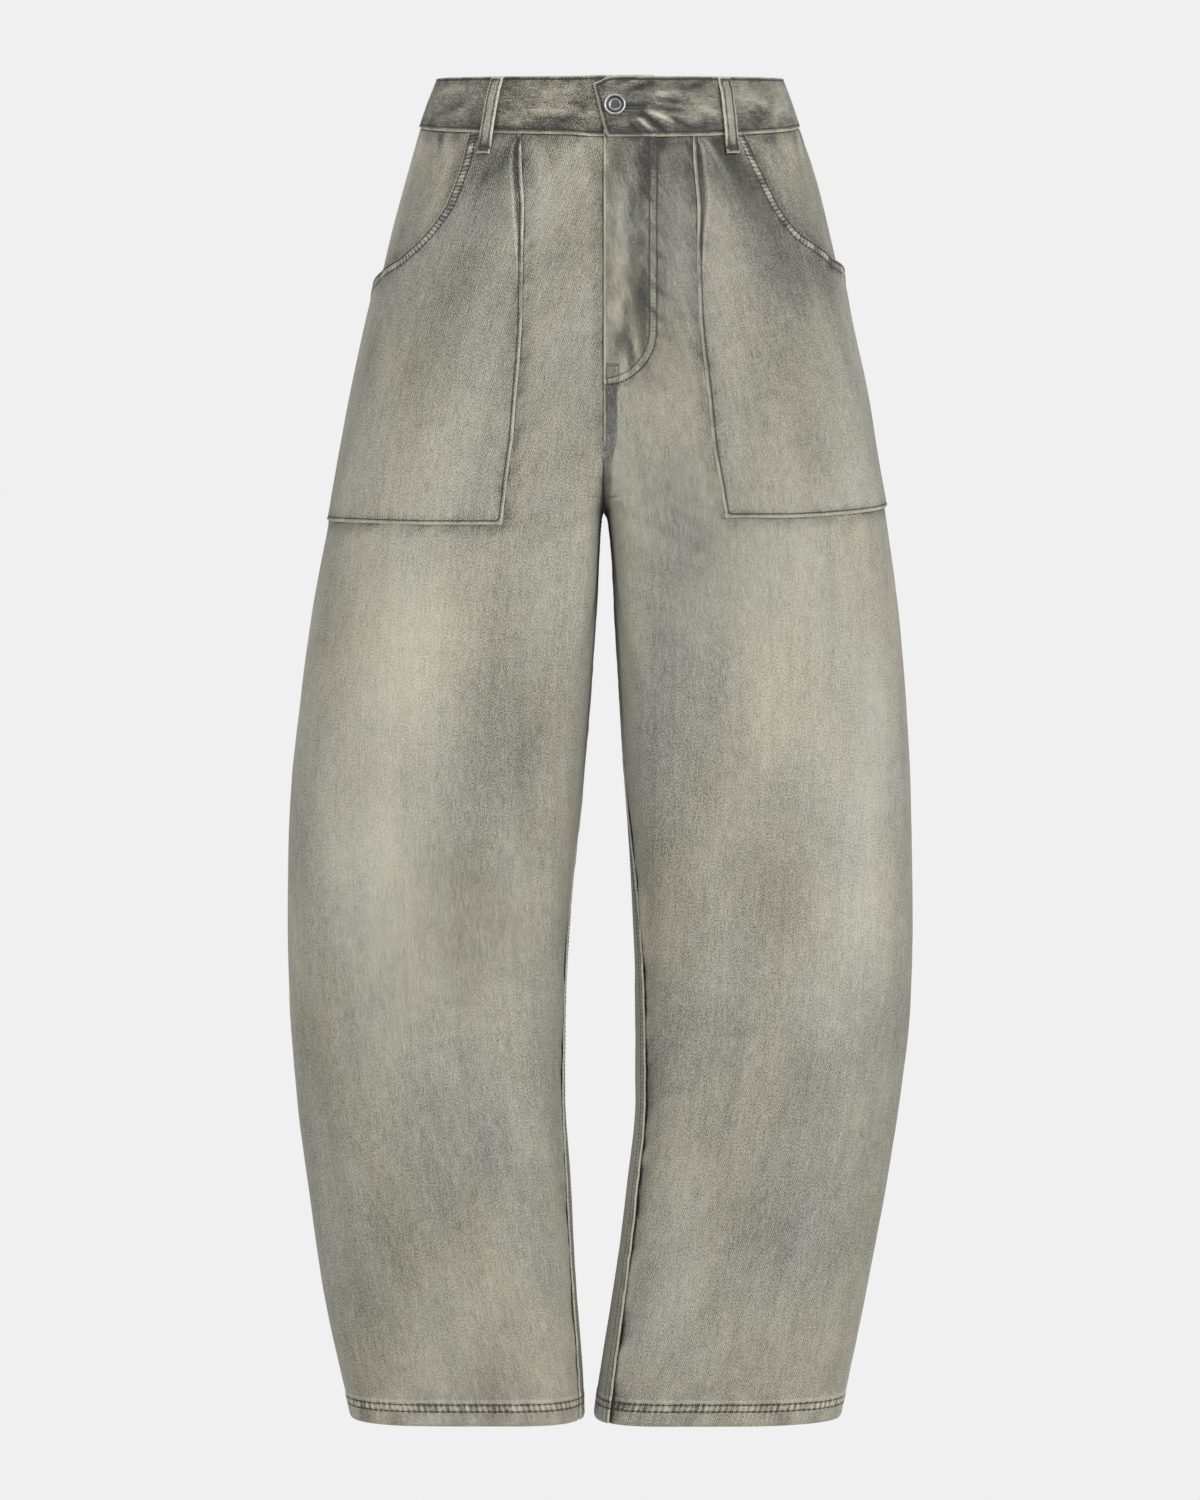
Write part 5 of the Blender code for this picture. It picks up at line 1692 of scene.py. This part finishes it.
def bandRow(placeRun, level):
    b = bandSizes
    fromEnd = placeRun - tabSlant(level)
    drop, ring, counted, duck = bandPlace(placeRun, level, fromEnd)
    tab = np.where(placeRun < bandTotal - b["countedBack"], fromEnd, farAway)
    relief = bandRelief(counted, level, tab)[0]
    return aroundPoint(drop, ring, b["raised"] + relief - duck * (b["solidWall"] + b["tabStep"]))


def sewBand():
    b, inset = bandSizes, 2.5
    rows = []
    for level in (inset, b["bottom"] - inset):
        run = np.linspace(tabSlant(level) + inset, bandTotal - b["duckTo"] + 4, 900)
        rows.append(bandRow(run, np.full(900, level)))
    level = np.linspace(inset, b["bottom"] - inset, 60)
    rows.append(bandRow(tabSlant(level) + inset, level))
    sewn = {"bandThread": stitchRows("bandThread", rows)}
    # buttonhole: close stitches across both lips of the slit, and a rounded end
    lips = []
    for sign in (-1, 1):
        for run in np.arange(13.0, 28.5, 0.6):
            lips.append(bandRow(np.full(4, run), b["holeLevel"] + sign * np.linspace(0.35, 2.3, 4)))
    for turn in np.linspace(-math.pi / 2, math.pi / 2, 9):
        reach = np.linspace(0.5, 2.4, 4)
        lips.append(bandRow(28.5 + np.cos(turn) * reach, b["holeLevel"] + np.sin(turn) * reach))
    sewn["buttonhole"] = stitchRows("buttonhole", lips, pitch=1.9, length=2.1, radius=0.36)
    return sewn


threads.update(sewBand())


def loopRow(loop, drop, across):
    return aroundPoint(drop, loopRing(loop, drop, across), loopLift(loop, drop, across)[0])


def sewLoops():
    rows, tacks = [], []
    width = loopSizes["width"]
    drop = np.linspace(loopSizes["top"] + 1.5, loopSizes["bottom"] - 1.5, 60)
    for loop in loopRows:
        for sign in (-1, 1):
            rows.append(loopRow(loop, drop, np.full(60, sign * (0.5 - 2.3 / width))))
        for level in (3.2, 4.4, 49.3, 50.6):
            tacks.append(loopRow(loop, np.full(16, level), np.linspace(-0.42, 0.42, 16)))
    return {
        "loopThread": stitchRows("loopThread", rows, pitch=2.9, length=2.2),
        "loopTacks": stitchRows("loopTacks", tacks, pitch=1.3, length=1.5, radius=0.33),
    }


threads.update(sewLoops())
print("thread sewn:", ", ".join(threads))


# Shank button, turned from its profile: radius and height over the tab
buttonSizes = {
    "drop": 19.4,
    "along": 8.1,
    "profile": [
        (0.0, 0.3), (3.0, 0.3), (3.0, 1.4), (6.9, 1.5), (7.6, 1.8), (7.95, 2.4), (8.0, 2.9), (7.85, 3.4),
        (7.5, 3.75), (7.1, 3.85), (6.75, 3.7), (6.5, 3.35), (6.3, 2.95), (5.9, 2.75), (5.0, 2.7), (4.7, 2.85),
        (4.5, 3.2), (4.25, 3.45), (3.95, 3.4), (3.75, 3.1), (3.4, 2.95), (2.4, 2.9), (1.2, 3.0), (0.0, 3.05),
    ],
    "steps": 72,
}


def metalMaterial():
    material, tree, shader = startMaterial("buttonSilver")
    position = tree.nodes.new("ShaderNodeTexCoord").outputs["Object"]
    scuff = noiseValue(tree, position, (900.0, 900.0, 900.0), 4.0, 0.6)
    cloud = noiseValue(tree, position, (220.0, 220.0, 220.0), 2.0)
    rough = mapRange(tree, calc(tree, "ADD", scuff, cloud), -0.3, 0.3, 0.16, 0.36)
    tree.links.new(rough, shader.inputs["Roughness"])
    mottled = mapRange(tree, cloud, -0.2, 0.2, 0.0, 1.0)
    metal = mixColours(tree, mottled, (0.42, 0.42, 0.42, 1.0), (0.66, 0.66, 0.66, 1.0))
    # the recess between rim and dome, and the dished middle, are painted near-black as painted shade and dark
    # reflection
    metal = mixColours(tree, attribute(tree, "recess"), metal, (0.035, 0.036, 0.038, 1.0))
    tree.links.new(metal, shader.inputs["Base Color"])
    raiseSurface(tree, shader, scuff, 0.4, 0.0001)
    shader.inputs["Metallic"].default_value = 1.0
    return material


def makeButton():
    b = buttonSizes
    bpy.ops.object.select_all(action="DESELECT")
    bpy.ops.mesh.primitive_plane_add(size=1.0)
    button = bpy.context.object
    button.name = "shankButton"
    mesh = button.data
    mesh.clear_geometry()
    mesh.vertices.add(len(b["profile"]))
    mesh.edges.add(len(b["profile"]) - 1)
    for k, (radius, height) in enumerate(b["profile"]):
        mesh.vertices[k].co = (radius * mm, 0.0, height * mm)
    for k in range(len(b["profile"]) - 1):
        mesh.edges[k].vertices = (k, k + 1)
    mesh.update()
    bpy.ops.object.mode_set(mode="EDIT")
    bpy.ops.mesh.select_all(action="SELECT")
    bpy.ops.mesh.spin(steps=b["steps"], angle=math.tau, center=(0, 0, 0), axis=(0, 0, 1), use_auto_merge=False)
    bpy.ops.mesh.select_all(action="SELECT")
    bpy.ops.mesh.remove_doubles(threshold=0.00001)
    bpy.ops.mesh.normals_make_consistent(inside=False)
    bpy.ops.object.mode_set(mode="OBJECT")
    radii = np.array([math.hypot(v.co.x, v.co.y) / mm for v in mesh.vertices])
    heights = np.array([v.co.z / mm for v in mesh.vertices])
    recess = mesh.attributes.new("recess", "FLOAT", "POINT")
    # painted shade and dark reflection in the ring between rim and dome and in the dished middle
    dark = 0.95 * (easeIn(radii, 4.5, 4.9) - easeIn(radii, 6.2, 6.6)) + 0.8 * (1 - easeIn(radii, 3.4, 3.8))
    dark = dark * (heights > 2.5)
    recess.data.foreach_set("value", dark.astype(np.float32))
    mesh.materials.append(metalMaterial())
    bpy.ops.object.shade_smooth_by_angle(angle=math.radians(38))
    drop, along = np.array([b["drop"]]), np.array([b["along"]])
    seat = lay("left", drop, along, np.array([bandSizes["raised"] + 0.1]))[0]
    facing = clothNormal("left", drop, along)[0]
    button.location = Vector(seat * mm)
    button.rotation_euler = Vector(facing).to_track_quat("Z", "Y").to_euler()
    bpy.ops.object.transform_apply(location=True, rotation=True, scale=True)
    finishPiece(button, ["button"])


makeButton()
print("button made")


# Floor, light and camera
studio = {
    "floorSize": 16.0,
    "floorHeight": -1.32,
    "paper": 0.871,
    "ambient": 0.62,
    "keyPower": 62.0,
    "fillPower": 18.0,
    "topPower": 14.0,
}
cameraSizes = {"distance": 2.6, "x": -0.0057, "z": -0.490, "frameHeight": 1.14}


def paleLight(tree, emission, strength):
    # the paper looks the same pale tone to the camera everywhere, and lights softly
    path = tree.nodes.new("ShaderNodeLightPath")
    seen = mapRange(tree, path.outputs["Is Camera Ray"], 0.0, 1.0, strength, studio["paper"], smooth=False)
    tree.links.new(seen, emission.inputs["Strength"])


def makeStudio():
    bpy.ops.object.select_all(action="DESELECT")
    place = (0, 0, studio["floorHeight"])
    bpy.ops.mesh.primitive_grid_add(x_subdivisions=4, y_subdivisions=4, size=studio["floorSize"], location=place)
    floor = bpy.context.object
    floor.name = "paperFloor"
    bpy.ops.object.transform_apply(location=True, rotation=True, scale=True)
    paper = bpy.data.materials.new("paleFloor")
    paper.use_nodes = True
    paper.node_tree.nodes.clear()
    output = paper.node_tree.nodes.new("ShaderNodeOutputMaterial")
    glow = paper.node_tree.nodes.new("ShaderNodeEmission")
    glow.inputs["Color"].default_value = (1.0, 1.0, 1.0, 1.0)
    paleLight(paper.node_tree, glow, studio["ambient"])
    paper.node_tree.links.new(glow.outputs[0], output.inputs["Surface"])
    floor.data.materials.append(paper)
    world = bpy.data.worlds.new("studioWorld")
    bpy.context.scene.world = world
    world.use_nodes = True
    background = world.node_tree.nodes["Background"]
    background.inputs["Color"].default_value = (1.0, 1.0, 1.0, 1.0)
    paleLight(world.node_tree, background, studio["ambient"])


def areaLight(name, place, target, size, power):
    light = bpy.data.lights.new(name, "AREA")
    light.shape = "RECTANGLE"
    light.size, light.size_y = size
    light.energy = power
    lamp = bpy.data.objects.new(name, light)
    bpy.context.scene.collection.objects.link(lamp)
    lamp.location = place
    lamp.rotation_euler = (Vector(target) - Vector(place)).to_track_quat("-Z", "Y").to_euler()


def makeCamera():
    c = cameraSizes
    lens = bpy.data.cameras.new("photoCamera")
    lens.sensor_fit = "VERTICAL"
    lens.sensor_height = 36.0
    lens.lens = 36.0 * c["distance"] / c["frameHeight"]
    lens.clip_end = 60.0
    camera = bpy.data.objects.new("photoCamera", lens)
    bpy.context.scene.collection.objects.link(camera)
    camera.location = (c["x"], -c["distance"], c["z"])
    camera.rotation_euler = (math.radians(90), 0.0, 0.0)
    bpy.context.scene.camera = camera


makeStudio()
areaLight("keyLight", (1.9, -2.6, 0.9), (0, 0, -0.45), (1.6, 2.4), studio["keyPower"])
areaLight("fillLight", (-2.2, -2.4, 0.2), (0, 0, -0.5), (1.8, 2.4), studio["fillPower"])
areaLight("topLight", (0.0, -0.4, 2.2), (0, 0, -0.4), (2.0, 2.0), studio["topPower"])
makeCamera()
scene = bpy.context.scene
scene.view_settings.view_transform = "Standard"
scene.view_settings.look = "None"
scene.view_settings.exposure = 0.0
scene.view_settings.gamma = 1.0
print("studio and camera set")

bpy.context.view_layer.update()
